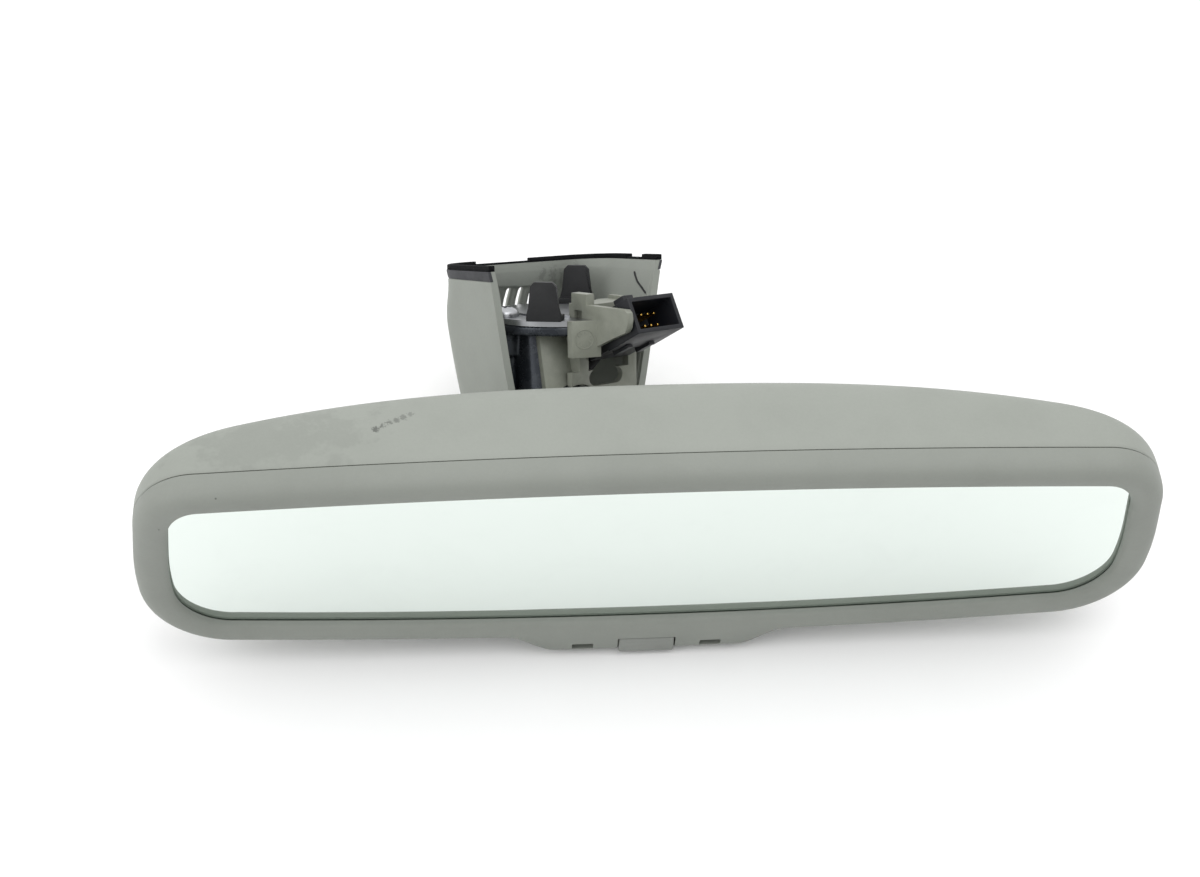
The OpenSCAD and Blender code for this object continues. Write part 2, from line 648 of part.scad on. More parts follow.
// ---- connector: drawn with its mouth at y = 0 and its tail at +y ----
mouth_at = [4.4, -32.2, 1.6];
cavity_len = 11;
lip_t = 1.15;
pin_rows = [-1.6, 1.6];
pin_cols = 5;
pin_pitch = 2.3;
pin_start = 5.2;
module on_carrier() { on_bracket() rotate([0, 0, plug_turn]) children(); }
module on_plug() { on_carrier() at_mouth() children(); }
module at_mouth() { translate(mouth_at) rotate([-plug_pitch, 0, 0]) children(); }
module plug_body(grow) {
    w = plug_size[0] / 2 + grow;
    h = plug_size[1] / 2 + grow;
    box([-w, -grow, -h], [w, cavity_len + 2, h]);
    box([-w + 1, cavity_len, -h + 0.6], [w - 1, plug_len + grow, h - 0.6]);
}
module connector_housing() {
    w = plug_size[0] / 2;
    h = plug_size[1] / 2;
    color(DARK) on_plug() difference() {
        union() {
            plug_body(0);
            box([-w + 0.8, 2.2, h - e], [-w + 4.4, 6.2, h + 1.5]);
            for (z = [-2.6, 0, 2.6]) box([w - e, 1.6, z - 0.5], [w + 0.7, 8, z + 0.5]);
            for (x = [-4, 4]) box([x - 1, 9, -h - 0.8], [x + 1, 15, -h + 0.7]);
        }
        box([-w + lip_t, -over, -h + lip_t], [w - lip_t, cavity_len, h - lip_t]);
        for (x = [0 : pin_cols - 1], z = pin_rows)
            translate([(x - 2) * pin_pitch, cavity_len - over, z])
                box([-0.34, 0, -0.34], [0.34, 4.4, 0.34]);
        box([-3, plug_len - 4, -2.6], [3, plug_len + over, 2.6]);
    }
}
module connector_pins() {
    color([0.83, 0.66, 0.25]) on_plug() for (x = [0 : pin_cols - 1], z = pin_rows)
        translate([(x - 2) * pin_pitch, pin_start, z])
            box([-0.32, 0, -0.32], [0.32, cavity_len + 3.3 - pin_start, 0.32]);
}

// ---- carrier: the moulding that holds the connector in front of the arm ----
skirt_y = -14.2;
skirt_t = 1.8;
skirt_low = -21.5;
slot_half = [6, 2.2];
slot_z = -16.9;
cheek_left = [-6.2, -4.2];   // the plate on the connector's left side
cheek_right = [13.0, 14.8];
bridge_z = [0.4, 3.2];
module carrier_slot() {
    translate([3.2, skirt_y - over, slot_z]) rotate([-90, 0, 0]) linear_extrude(skirt_t + 2 * over)
        union() {
            for (side = [-1, 1]) translate([side * (slot_half[0] - slot_half[1]), 0])
                circle(r = slot_half[1], $fn = 32);
            square([2 * (slot_half[0] - slot_half[1]), 2 * slot_half[1]], center = true);
        }
}
// upright plate square to X, from points [y, z]
module cheek(x, pts) {
    translate([x[0], 0, 0]) rotate([90, 0, 90]) linear_extrude(x[1] - x[0]) polygon(pts);
}
// curved lip in front of the arm's flange
module apron() {
    intersection() {
        translate([0, 0, -10]) difference() {
            cylinder(r = seat_r + 1.9, h = 10 + rim_top, $fn = 96);
            translate([0, 0, -over]) cylinder(r = seat_r + 0.35, h = 12 + over, $fn = 96);
        }
        box([-12.2, -24, -11], [cheek_left[0] + 1.2, -12, 1]);
    }
}
module carrier() {
    color([0.56, 0.57, 0.54]) on_bracket() difference() {
        union() {
            rotate([0, 0, plug_turn]) difference() {
                union() {
                    cheek(cheek_left, [[-31.6, bridge_z[1]], [-32.5, 2.4], [-32.8, 0.8], [-32.5, -1.4],
                        [-31.6, -2.7], [-26.8, -4.7], [-18.3, -8.5], [-13.6, -11.6],
                        [-13.6, skirt_low], [-7.4, skirt_low], [-7.4, -5.2],
                        [-10.2, -4.9], [-10.2, bridge_z[1]]]);
                    cheek(cheek_right, [[-22, bridge_z[1]], [-23, 2.2], [-22.4, -3], [-13.6, -8.4],
                        [-13.6, skirt_low], [-10.2, skirt_low], [-10.2, bridge_z[1]]]);
                    box([cheek_left[0], -17, bridge_z[1] - e], [-3.4, -11.2, 6]);      // tall tab
                    box([cheek_left[0], -17, bridge_z[0]], [9.5, -10.2, bridge_z[1]]); // bridge
                    box([7.9, -17, bridge_z[0]], [9.5, -10.2, 4.2]);
                    box([-3.6, -12.4, bridge_z[1] - e], [-0.6, -10.2, 5.0]);           // catch
                    box([7.9, -12.2, bridge_z[0]], [14.2, -10.4, bridge_z[1] - 0.2]);
                    box([-9, skirt_y, skirt_low + 0.2], [14.4, skirt_y + skirt_t, -14.8]);   // skirt
                    box([cheek_left[0], skirt_y, -15], [-3, skirt_y + skirt_t, -11]);
                    box([11.4, skirt_y, -15], [14.4, skirt_y + skirt_t, -9.2]);
                    apron();
                }
                at_mouth() plug_body(0.3);
                carrier_slot();
                box([cheek_left[0] - over, -15.2, -2.6], [-4.9, -12.2, 1.6]);          // snap recess
                box([-20, -9.9, flange_low - 0.3], [seat_r, -5, rim_h]);
            }
            // open collar round the arm's post
            intersection() {
                bar_along(elbow, [post_at[0], post_at[1], flange_low], post_r + 2, post_r + 2, 60);
                box([-12, -16, skirt_low], [6, -4.4, flange_low - 0.4]);
            }
        }
        arm_form(0.35, flange_low);
        bar_along(window_from, window_to, 2.3, 2.3, 32);
        bar_along(wire_bend[0], wire_bend[1], harness_r + 0.6, harness_r + 0.6, 28);
    }
}

// ---- harness from the connector through the arm to the ball ----
harness_r = 1.6;
head_wire_r = 1.5;
wire_bend = [[4.2, -6.8, -14.8], [-1.5, -3.6, -17.6]];   // where it turns into the arm
function turned(p) = spin_z(p, plug_turn);
wire_way = smoothed([
    turned(mouth_at + spin_x([0, plug_len - 3.5, 0], -plug_pitch)),
    turned(mouth_at + spin_x([0, plug_len + 1, -0.3], -plug_pitch)),
    wire_bend[0],
    wire_bend[1],
    [-6.2, -3.6, -21.8],
    [-5.8, -9, -26.3],
    [-3.2, -15.5, -25.2],
    neck_pt + neck_dir * 8.3,
    neck_pt + neck_dir * 5,
    neck_pt,
    ball_at + neck_dir * 8,
    ball_at + neck_dir * 1], 3);
module arm_harness() { color(DARK) on_bracket() tube(wire_way, harness_r, 16); }
head_way = smoothed([
    [0, -1, 0], [0, -ball_r - 0.9, 0],
    [-0.4, -ball_r - 3.4, -2.2], [-1.6, -ball_r - 3.6, -7.4],
    [-2.6, -ball_r - 1.9, -13.6],
    [header_x, board_end + 9.8 - ball_depth, -17.2],
    [header_x, board_end + 8.9 - ball_depth, header_z - ball_rise]], 3);
module head_harness() {
    color(DARK) at_ball() difference() {
        tube(head_way, head_wire_r, 16);
        box([-12, board_end - ball_depth - over, -30],
            [12, board_end + 7.7 - ball_depth, header_z - ball_rise + header_half[1] + 0.1]);
    }
}

// ---- cover: a U-shaped shell round the far side of the bracket ----
corner_r = 12;
side_steps = 5;
arc_steps = 10;
// half width falls with depth in a gentle barrel
function cover_w(z) = cover_half * (1 - 0.235 * pow(max(0, rim_h - z) / (rim_h + cover_depth), 0.75)
    - 0.12 * pow((rim_h - z) / (rim_h + cover_depth), 3));
function cover_v(z) = cover_far + cover_belly * smooth((rim_h - z) / 18);
function rim_fall(z) = rim_slope * max(0, z) / rim_h;
function u_path(z, g) = let (w = cover_w(z) - g, v = cover_v(z) - g, r = max(1, corner_r - g))
    concat(
        [for (i = [0 : side_steps - 1]) [-w, mix(-cover_near, v - r, i / side_steps)]],
        [for (i = [0 : arc_steps]) let (a = 180 - 90 * i / arc_steps)
            [-w + r + r * cos(a), v - r + r * sin(a)]],
        [for (i = [0 : arc_steps]) let (a = 90 - 90 * i / arc_steps)
            [w - r + r * cos(a), v - r + r * sin(a)]],
        [for (i = [side_steps - 1 : -1 : 0]) [w, mix(-cover_near, v - r, i / side_steps)]]);
function u_ring(z, g0, g1) = let (a = u_path(z, g0), b = u_path(z, g1), n = len(a))
    [for (p = concat(a, [for (i = [n - 1 : -1 : 0]) b[i]]))
        [p[0], p[1], z - (p[1] + cover_near) * rim_fall(z)]];
band_h = 2.7;
band_t = 0.9;
trim_low = rim_h - band_h;
cover_levels = [trim_low - 2, trim_low - 6, 0, -6, -12, -18, -24, -30];
vent_half = [0.95, 3.5];
vent_at = [1.7, 0.2];
vent_pitch = 3.85;
module cover_shell() {
    color(GREY) on_bracket() difference() {
        union() {
            skin(concat([u_ring(rim_h, band_t, cover_wall), u_ring(trim_low, band_t, cover_wall),
                u_ring(trim_low, 0, cover_wall)],
                [for (z = cover_levels) u_ring(z, 0, cover_wall)],
                [u_ring(-cover_depth + 2.4, 0, cover_wall),
                    u_ring(-cover_depth + 0.8, 1, cover_wall + 1.8),
                    u_ring(-cover_depth, 2.6, cover_wall + 3.4)]), false);
            cover_clips();
        }
        for (i = [-1 : 1]) translate([vent_at[0] + i * vent_pitch, cover_far - over, vent_at[1]])
            rotate([-90, 0, 0]) linear_extrude(cover_belly + 2 * over) union() {
                for (s = [-1, 1]) translate([0, s * (vent_half[1] - vent_half[0])])
                    circle(r = vent_half[0], $fn = 24);
                square([2 * vent_half[0], 2 * (vent_half[1] - vent_half[0])], center = true);
            }
    }
}
clips = [[6, 18.6], [9.6, 17.2]];   // each clip's distance back, and where its nib ends
// each clip is a post under the flange and a nib over the seat plate's rim
module cover_clips() {
    for (side = [0, 1], c = clips) mirror([side, 0, 0]) {
        box([c[1] - 0.6, c[0] - 1, screw_boss_low], [cover_w(screw_boss_low) - 0.8, c[0] + 1,
            flange_low - fit_gap]);
        box([c[1], c[0] - 1, 0.1 - land_h], [cover_w(2) - 0.8, c[0] + 1, 1.1 - land_h]);
    }
}
module cover_trim_band() {
    color([0.25, 0.25, 0.26]) on_bracket()
        skin([u_ring(rim_h, 0, band_t - fit_gap), u_ring(trim_low + fit_gap, 0,
            band_t - fit_gap)], false);
}
gasket_low = rim_h + fit_gap;
// raised stretches of the seal, each from x to x and from y to y
pads = [[-40, -14, -20, 40], [3, 40, 6, 40], [15, 40, -20, -1.6]];
module cover_gasket() {
    color([0.05, 0.05, 0.05]) on_bracket() union() {
        skin([u_ring(gasket_low + 0.6, 0.3, cover_wall), u_ring(gasket_low, 0.3, cover_wall)],
            false);
        intersection() {
            skin([u_ring(gasket_low + 1.5, 0.3, cover_wall),
                u_ring(gasket_low + 0.3, 0.3, cover_wall)], false);
            for (p = pads) box([p[0], p[2], 0], [p[1], p[3], gasket_low + 3]);
        }
    }
}

bezel();
rear_housing();
front_glass();
cell_seal();
rear_glass();
electrode_strips();
glass_pad();
backing_plate();
circuit_board();
board_parts();
board_screws();
board_header();
dim_switch();
glare_sensor();
glare_window();
status_led();
status_window();
ambient_sensor();
ambient_light_pipe();
head_harness();
harness_plug();
front_socket_plate();
rear_socket_plate();
socket_screws();
preload_springs();
button();
switch_plunger();
ball_liner_rear();
ball_liner_front();
ball_stud();
arm();
seat_plate();
bayonet_hooks();
base_screws();
carrier();
connector_housing();
connector_pins();
arm_harness();
cover_shell();
cover_trim_band();
cover_gasket();
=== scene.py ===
import json
import math

import bmesh
import bpy
from mathutils import Matrix, Vector


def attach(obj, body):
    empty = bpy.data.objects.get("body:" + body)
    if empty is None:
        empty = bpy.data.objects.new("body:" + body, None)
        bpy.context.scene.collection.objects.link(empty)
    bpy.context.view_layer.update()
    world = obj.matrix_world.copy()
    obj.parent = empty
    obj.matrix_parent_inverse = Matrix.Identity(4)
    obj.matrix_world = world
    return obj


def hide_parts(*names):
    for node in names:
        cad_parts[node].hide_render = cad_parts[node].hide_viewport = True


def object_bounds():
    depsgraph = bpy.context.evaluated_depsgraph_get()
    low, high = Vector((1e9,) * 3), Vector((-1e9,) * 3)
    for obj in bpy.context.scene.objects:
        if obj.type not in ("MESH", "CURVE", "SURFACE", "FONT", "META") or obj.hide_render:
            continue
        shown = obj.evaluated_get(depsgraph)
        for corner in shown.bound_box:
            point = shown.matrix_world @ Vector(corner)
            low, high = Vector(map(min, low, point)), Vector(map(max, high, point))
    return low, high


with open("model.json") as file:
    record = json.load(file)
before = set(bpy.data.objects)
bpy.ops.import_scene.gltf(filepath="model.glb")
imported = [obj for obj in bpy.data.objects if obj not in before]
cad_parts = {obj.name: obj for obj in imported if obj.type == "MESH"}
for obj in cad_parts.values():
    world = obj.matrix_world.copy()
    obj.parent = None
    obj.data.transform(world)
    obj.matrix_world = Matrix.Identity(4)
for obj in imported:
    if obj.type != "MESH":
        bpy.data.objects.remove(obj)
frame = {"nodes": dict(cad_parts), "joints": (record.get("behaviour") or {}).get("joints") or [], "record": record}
cad_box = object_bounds()

# ---------------------------------------------------------------- frame and sizes
# Shape functions below work in millimetres in the head's or the bracket's own axes.
MM = 0.001
joints = {j["name"]: j for j in frame["joints"]}
BALL = Vector(joints["head_tilt"]["pos_m"])
BALL_DEPTH, BALL_RISE = 23.0, 2.0
BRACKET_YAW, BRACKET_ROLL, SCREEN_RAKE = 21.0, 18.0, 38.0
PLUG_TURN = 11.4


def turn(degrees, axis):
    return Matrix.Rotation(math.radians(degrees), 4, axis)


SCALE = Matrix.Scale(MM, 4)
HEAD = Matrix.Translation(BALL - Vector((0, BALL_DEPTH, BALL_RISE)) * MM) @ SCALE
BRACKET = turn(BRACKET_YAW, "Z") @ turn(BRACKET_ROLL, "Y") @ turn(-SCREEN_RAKE, "X") @ SCALE
CARRIER = BRACKET @ turn(PLUG_TURN, "Z")

OPENING_W, OPENING_H = 239.0, 56.0
TOP_CROWN, BOTTOM_CROWN = 3.15, 4.95
UPPER_CORNER, LOWER_CORNER = (8.0, 9.0), (14.0, 15.5)
SIDE_LEAN = 0.025
BORDER_SIDE, BORDER_TOP = 8.8, 7.8
BEZEL_DEPTH, WALL, SEAM_GAP = 5.5, 2.2, 0.3
CHIN_DROP, CHIN_HALF, CHIN_RAMP = 6.0, 24.0, 13.0
HOUSING_DEPTH, HOUSING_ARCH, DOME_POW = 28.0, 0.5, 0.4
NECK_OPENING_R = 11.5
GLASS_RECESS = 1.6
BUTTON_W, BUTTON_H, BUTTON_GAP = 14.6, 6.4, 0.3
BUTTON_Z = -OPENING_H / 2 - BORDER_TOP - CHIN_DROP + 1.6 + BUTTON_H / 2
WINDOW_X, WINDOW_W, WINDOW_H = 16.8, 5.6, 2.8
WINDOW_Z = BUTTON_Z + 0.2

COVER_HALF, COVER_FAR, COVER_NEAR = 26.8, 24.0, 9.0
COVER_WALL, RIM_H, COVER_DEPTH = 2.0, 12.6, 36.0
COVER_BELLY, COVER_CORNER, RIM_SLOPE = 6.0, 12.0, 0.062
BAND_H, BAND_T = 2.7, 0.9
VENT_X, VENT_PITCH, VENT_HALF = 1.7, 3.85, 0.95
SCREW_OFFSET = 17
LAND_H = 0.5
RIM_TOP = 0.05 - LAND_H
FLANGE_LOW, CLIP_LOW = -4.55, -10.9
LIP_R, MARK_TURN, MARK_Z = 21.92, math.radians(244.6), -5.2


# ---------------------------------------------------------------- mesh helpers
def make(name, verts, faces, place, sharp=35.0):
    """Mesh object from millimetre points in the axes of place, smooth but for edges over sharp degrees."""
    mesh = bpy.data.meshes.new(name)
    mesh.from_pydata([place @ Vector(v) for v in verts], [], faces)
    mesh.validate()
    fix = bmesh.new()
    fix.from_mesh(mesh)
    bmesh.ops.recalc_face_normals(fix, faces=fix.faces)
    fix.to_mesh(mesh)
    fix.free()
    obj = bpy.data.objects.new(name, mesh)
    bpy.context.scene.collection.objects.link(obj)
    soften(obj, sharp)
    return obj


def soften(obj, sharp=35.0):
    obj.data.shade_smooth()
    obj.data.set_sharp_from_angle(angle=math.radians(sharp))


def copy_of(node, name):
    """A new object with the shape of a CAD node, welded, ready to be worked on."""
    obj = bpy.data.objects.new(name, frame["nodes"][node].data.copy())
    obj.data.materials.clear()
    bpy.context.scene.collection.objects.link(obj)
    weld = bmesh.new()
    weld.from_mesh(obj.data)
    bmesh.ops.remove_doubles(weld, verts=weld.verts, dist=2e-6)
    bmesh.ops.dissolve_limit(weld, angle_limit=math.radians(0.5), verts=weld.verts, edges=weld.edges)
    weld.to_mesh(obj.data)
    weld.free()
    return obj


def apply_modifiers(obj):
    bpy.context.view_layer.update()
    done = bpy.data.meshes.new_from_object(obj.evaluated_get(bpy.context.evaluated_depsgraph_get()))
    obj.modifiers.clear()
    obj.data = done


def bevel(obj, width, segments=3, angle=40.0):
    mod = obj.modifiers.new("bevel", "BEVEL")
    mod.width = width * MM
    mod.segments = segments
    mod.limit_method = "ANGLE"
    mod.angle_limit = math.radians(angle)
    mod.use_clamp_overlap = True
    mod.harden_normals = False
    apply_modifiers(obj)
    soften(obj, 30)


def cut(obj, cutter, operation="DIFFERENCE"):
    mod = obj.modifiers.new("cut", "BOOLEAN")
    mod.object = cutter
    mod.operation = operation
    mod.solver = "EXACT"
    apply_modifiers(obj)
    bpy.data.objects.remove(cutter)


def remesh(obj, voxel, smooth=6):
    """Melts the sharp joins of a casting into fillets."""
    mod = obj.modifiers.new("remesh", "REMESH")
    mod.mode = "VOXEL"
    mod.voxel_size = voxel * MM
    apply_modifiers(obj)
    mod = obj.modifiers.new("smooth", "SMOOTH")
    mod.iterations = smooth
    mod.factor = 0.5
    apply_modifiers(obj)
    obj.data.shade_smooth()


def join(name, parts):
    """One object from several, keeping each one's own material."""
    out = bmesh.new()
    mesh = bpy.data.meshes.new(name)
    for part in parts:
        for material in part.data.materials:
            if material.name not in mesh.materials:
                mesh.materials.append(material)
        start = len(out.faces)
        out.from_mesh(part.data)
        out.faces.ensure_lookup_table()
        for face in out.faces[start:]:
            if part.data.materials:
                own = part.data.materials[min(face.material_index, len(part.data.materials) - 1)]
                face.material_index = mesh.materials.find(own.name)
    out.to_mesh(mesh)
    out.free()
    for part in parts:
        bpy.data.objects.remove(part)
    obj = bpy.data.objects.new(name, mesh)
    bpy.context.scene.collection.objects.link(obj)
    return obj


def spline(points, steps):
    """Points along a Catmull-Rom curve through tuples of any length."""
    out = []
    last = len(points) - 1
    for k in range(last):
        p0, p1, p2, p3 = points[max(k - 1, 0)], points[k], points[k + 1], points[min(k + 2, last)]
        for j in range(steps):
            t = j / steps
            out.append(tuple(0.5 * (2 * b + (c - a) * t + (2 * a - 5 * b + 4 * c - d) * t * t
                                    + (3 * b - a - 3 * c + d) * t ** 3)
                             for a, b, c, d in zip(p0, p1, p2, p3)))
    return out + [tuple(points[-1])]


def loft(rings, loop=False):
    """Vertices and quads through closed rings; loop joins the last ring to the first."""
    n = len(rings[0])
    verts = [p for ring in rings for p in ring]
    faces = []
    for k in range(len(rings) if loop else len(rings) - 1):
        a, b = k * n, ((k + 1) % len(rings)) * n
        faces += [(a + i, b + i, b + (i + 1) % n, a + (i + 1) % n) for i in range(n)]
    return verts, faces


def rounded_box(lo, hi, r, place, name="box", segments=3):
    x0, y0, z0 = lo
    x1, y1, z1 = hi
    verts = [(x, y, z) for x in (x0, x1) for y in (y0, y1) for z in (z0, z1)]
    faces = [(0, 1, 3, 2), (4, 6, 7, 5), (0, 4, 5, 1), (2, 3, 7, 6), (0, 2, 6, 4), (1, 5, 7, 3)]
    obj = make(name, verts, faces, place)
    if r:
        bevel(obj, r, segments)
    return obj


def lathe(profile, place, name, count=64):
    """Turned solid from (radius, height) points; the ends on the axis close it."""
    rings = [[(r * math.cos(2 * math.pi * i / count), r * math.sin(2 * math.pi * i / count), h)
              for i in range(count)] for r, h in profile if r > 0]
    verts, faces = loft(rings)
    n = len(verts)
    verts += [(0, 0, profile[0][1]), (0, 0, profile[-1][1])]
    last = (len(rings) - 1) * count
    faces += [(n, (i + 1) % count, i) for i in range(count)]
    faces += [(n + 1, last + i, last + (i + 1) % count) for i in range(count)]
    return make(name, verts, faces, place, 40)


def tube(points, radius, place, name, count=12):
    """Round tube along a smooth curve through points."""
    path = [Vector(p) for p in spline(points, 5)]
    rings = []
    for k, p in enumerate(path):
        t = (path[min(k + 1, len(path) - 1)] - path[max(k - 1, 0)]).normalized()
        side = t.orthogonal().normalized() if k == 0 else (side - t * side.dot(t)).normalized()
        up = t.cross(side)
        rings.append([tuple(p + side * radius * math.cos(a) + up * radius * math.sin(a))
                      for a in (2 * math.pi * i / count for i in range(count))])
    verts, faces = loft(rings)
    last = len(verts) - count
    faces += [tuple(range(count))[::-1], tuple(range(last, last + count))]
    return make(name, verts, faces, place, 60)


# ---------------------------------------------------------------- materials
class Nodes:
    """A small hand for building one procedural material in object space, in metres."""

    def __init__(self, name):
        self.material = bpy.data.materials.new(name)
        self.material.use_nodes = True
        self.tree = self.material.node_tree
        self.shader = self.tree.nodes["Principled BSDF"]
        self.space = self.tree.nodes.new("ShaderNodeTexCoord").outputs["Object"]

    def link(self, a, b):
        self.tree.links.new(a, b)

    def noise(self, size_mm, detail=3.0, rough=0.55, stretch=None, distort=0.0):
        node = self.tree.nodes.new("ShaderNodeTexNoise")
        node.inputs["Scale"].default_value = 1 / (size_mm * MM)
        node.inputs["Detail"].default_value = detail
        node.inputs["Roughness"].default_value = rough
        node.inputs["Distortion"].default_value = distort
        source = self.space
        if stretch:
            mapping = self.tree.nodes.new("ShaderNodeMapping")
            mapping.inputs["Scale"].default_value = stretch
            self.link(self.space, mapping.inputs["Vector"])
            source = mapping.outputs["Vector"]
        self.link(source, node.inputs["Vector"])
        return node.outputs["Fac"]

    def cells(self, size_mm):
        node = self.tree.nodes.new("ShaderNodeTexVoronoi")
        node.inputs["Scale"].default_value = 1 / (size_mm * MM)
        self.link(self.space, node.inputs["Vector"])
        return node.outputs["Distance"]

    def ramp(self, value, low, high, out_low=0.0, out_high=1.0):
        node = self.tree.nodes.new("ShaderNodeMapRange")
        for name, v in (("From Min", low), ("From Max", high), ("To Min", out_low), ("To Max", out_high)):
            node.inputs[name].default_value = v
        self.link(value, node.inputs["Value"])
        return node.outputs["Result"]

    def math(self, kind, a, b):
        node = self.tree.nodes.new("ShaderNodeMath")
        node.operation = kind
        for socket, v in zip(node.inputs, (a, b)):
            if isinstance(v, (int, float)):
                socket.default_value = v
            else:
                self.link(v, socket)
        return node.outputs[0]

    def mix(self, factor, a, b):
        node = self.tree.nodes.new("ShaderNodeMix")
        node.data_type = "RGBA"
        if isinstance(factor, (int, float)):
            node.inputs[0].default_value = factor
        else:
            self.link(factor, node.inputs[0])
        for socket, v in ((node.inputs[6], a), (node.inputs[7], b)):
            if isinstance(v, tuple):
                socket.default_value = (*v, 1)
            else:
                self.link(v, socket)
        return node.outputs[2]

    def distance(self, point_mm, place, stretch=(1, 1, 1)):
        """Distance in mm from a point given in the axes of place."""
        mapping = self.tree.nodes.new("ShaderNodeMapping")
        at = place @ Vector(point_mm)
        mapping.vector_type = "POINT"
        mapping.inputs["Location"].default_value = tuple(-c / MM * s for c, s in zip(at, stretch))
        mapping.inputs["Scale"].default_value = tuple(s / MM for s in stretch)
        self.link(self.space, mapping.inputs["Vector"])
        length = self.tree.nodes.new("ShaderNodeVectorMath")
        length.operation = "LENGTH"
        self.link(mapping.outputs["Vector"], length.inputs[0])
        return length.outputs["Value"]

    def bump(self, height, strength, distance_mm, before=None):
        node = self.tree.nodes.new("ShaderNodeBump")
        node.inputs["Strength"].default_value = strength
        node.inputs["Distance"].default_value = distance_mm * MM
        self.link(height, node.inputs["Height"])
        if before:
            self.link(before, node.inputs["Normal"])
        self.link(node.outputs["Normal"], self.shader.inputs["Normal"])
        return node.outputs["Normal"]

    def set(self, **values):
        for name, v in values.items():
            socket = self.shader.inputs[name.replace("_", " ")]
            if isinstance(v, (int, float)) or isinstance(v, tuple):
                socket.default_value = (*v, 1) if isinstance(v, tuple) and len(v) == 3 else v
            else:
                self.link(v, socket)
        return self


def srgb(r, g, b):
    """Linear colour from display values."""
    return tuple(((c / 255 + 0.055) / 1.055) ** 2.4 if c > 10 else c / 255 / 12.92 for c in (r, g, b))


def shade(colour, k):
    return tuple(min(1.0, c * k) for c in colour)


def moulded(name, colour, grain_mm=0.55, grain=0.35, rough=0.55, dirt=0.12, dirt_mm=22, marks=()):
    """Moulded plastic: fine grain, a faint large stain and marks.

    Each mark is (point, axes, stretch, radius, darkening, raggedness), in millimetres.
    """
    m = Nodes(name)
    stain = m.ramp(m.noise(dirt_mm, 4, 0.6), 0.42, 0.72)
    tint = m.mix(m.math("MULTIPLY", stain, dirt), colour, shade(colour, 0.55))
    speck = m.ramp(m.noise(grain_mm * 1.4, 2, 0.6), 0.35, 0.75)
    tint = m.mix(m.math("MULTIPLY", speck, 0.10), tint, shade(colour, 0.72))
    for point, place, stretch, radius, depth, raggedness in marks:
        near = m.distance(point, place, stretch)
        if raggedness:
            ragged = m.ramp(m.noise(raggedness, 3, 0.7), 0.3, 0.7, -radius * 0.7, radius * 0.7)
            near = m.math("ADD", near, ragged)
        tint = m.mix(m.ramp(near, radius * 0.5, radius, depth, 0.0), tint, shade(colour, 0.18))
    height = m.math("ADD", m.noise(grain_mm, 2, 0.5), m.ramp(m.cells(grain_mm * 1.7), 0, 0.6, 0, 0.5))
    m.bump(height, grain, 0.06)
    m.set(Base_Color=tint, Roughness=m.ramp(stain, 0, 1, rough, rough + 0.12))
    m.set(Specular_IOR_Level=0.42)
    return m.material


def plain_metal(name, colour, rough=0.3, grain_mm=0.8, grain=0.15, streak=None, tarnish=0.25):
    """Metal with a faint grain, worn patches and an optional drawn direction."""
    m = Nodes(name)
    patch = m.ramp(m.noise(4.5, 4, 0.6), 0.4, 0.7)
    m.set(Base_Color=m.mix(m.math("MULTIPLY", patch, tarnish), colour, shade(colour, 0.45)))
    m.set(Roughness=m.ramp(m.noise(1.6, 3, 0.6), 0.3, 0.7, rough * 0.9, rough * 1.15), Metallic=1.0)
    m.bump(m.noise(grain_mm, 3, 0.6, streak), grain, 0.03)
    return m.material


def clear(name, colour, rough=0.12):
    m = Nodes(name)
    cloud = m.ramp(m.noise(2.0, 3, 0.6), 0.4, 0.7)
    m.set(Base_Color=m.mix(m.math("MULTIPLY", cloud, 0.3), colour, shade(colour, 0.7)))
    m.set(Roughness=m.ramp(cloud, 0, 1, rough, rough * 1.8), Transmission_Weight=0.6, IOR=1.5)
    m.bump(m.noise(0.7, 2), 0.1, 0.02)
    return m.material


def mirror_coating(name, colour, rough):
    """Silvered glass with faint smudges, dust specks and a very soft wave."""
    m = Nodes(name)
    smudge = m.ramp(m.noise(16, 4, 0.65, distort=0.6), 0.50, 0.75)
    dust = m.ramp(m.noise(1.1, 2, 0.8), 0.80, 0.84)
    wipe = m.ramp(m.noise(3.0, 3, 0.6, (0.12, 1, 1)), 0.62, 0.8)
    tint = m.mix(m.math("MULTIPLY", smudge, 0.10), colour, shade(colour, 0.82))
    tint = m.mix(m.math("MULTIPLY", dust, 0.35), tint, shade(colour, 0.5))
    m.set(Base_Color=tint, Metallic=1.0)
    haze = m.math("ADD", m.math("MULTIPLY", smudge, 0.05), m.math("MULTIPLY", wipe, 0.03))
    m.set(Roughness=m.math("ADD", haze, rough))
    m.bump(m.noise(40, 1), 0.03, 0.2)
    return m.material


def foam(name, colour):
    m = Nodes(name)
    pores = m.cells(0.55)
    m.set(Base_Color=m.mix(m.ramp(pores, 0.1, 0.6), shade(colour, 0.4), colour), Roughness=0.95)
    m.bump(m.math("ADD", pores, m.noise(0.9, 3)), 0.7, 0.15)
    m.set(Specular_IOR_Level=0.2)
    return m.material


def board(name, colour):
    """Solder mask over copper tracks."""
    m = Nodes(name)
    tracks = m.ramp(m.noise(2.2, 1, 0.3, (1, 1, 0.25)), 0.49, 0.51)
    m.set(Base_Color=m.mix(m.math("MULTIPLY", tracks, 0.5), colour, shade(colour, 2.2)), Roughness=0.32)
    m.bump(tracks, 0.3, 0.05)
    return m.material


GREY = srgb(150, 154, 147)
materials = {}


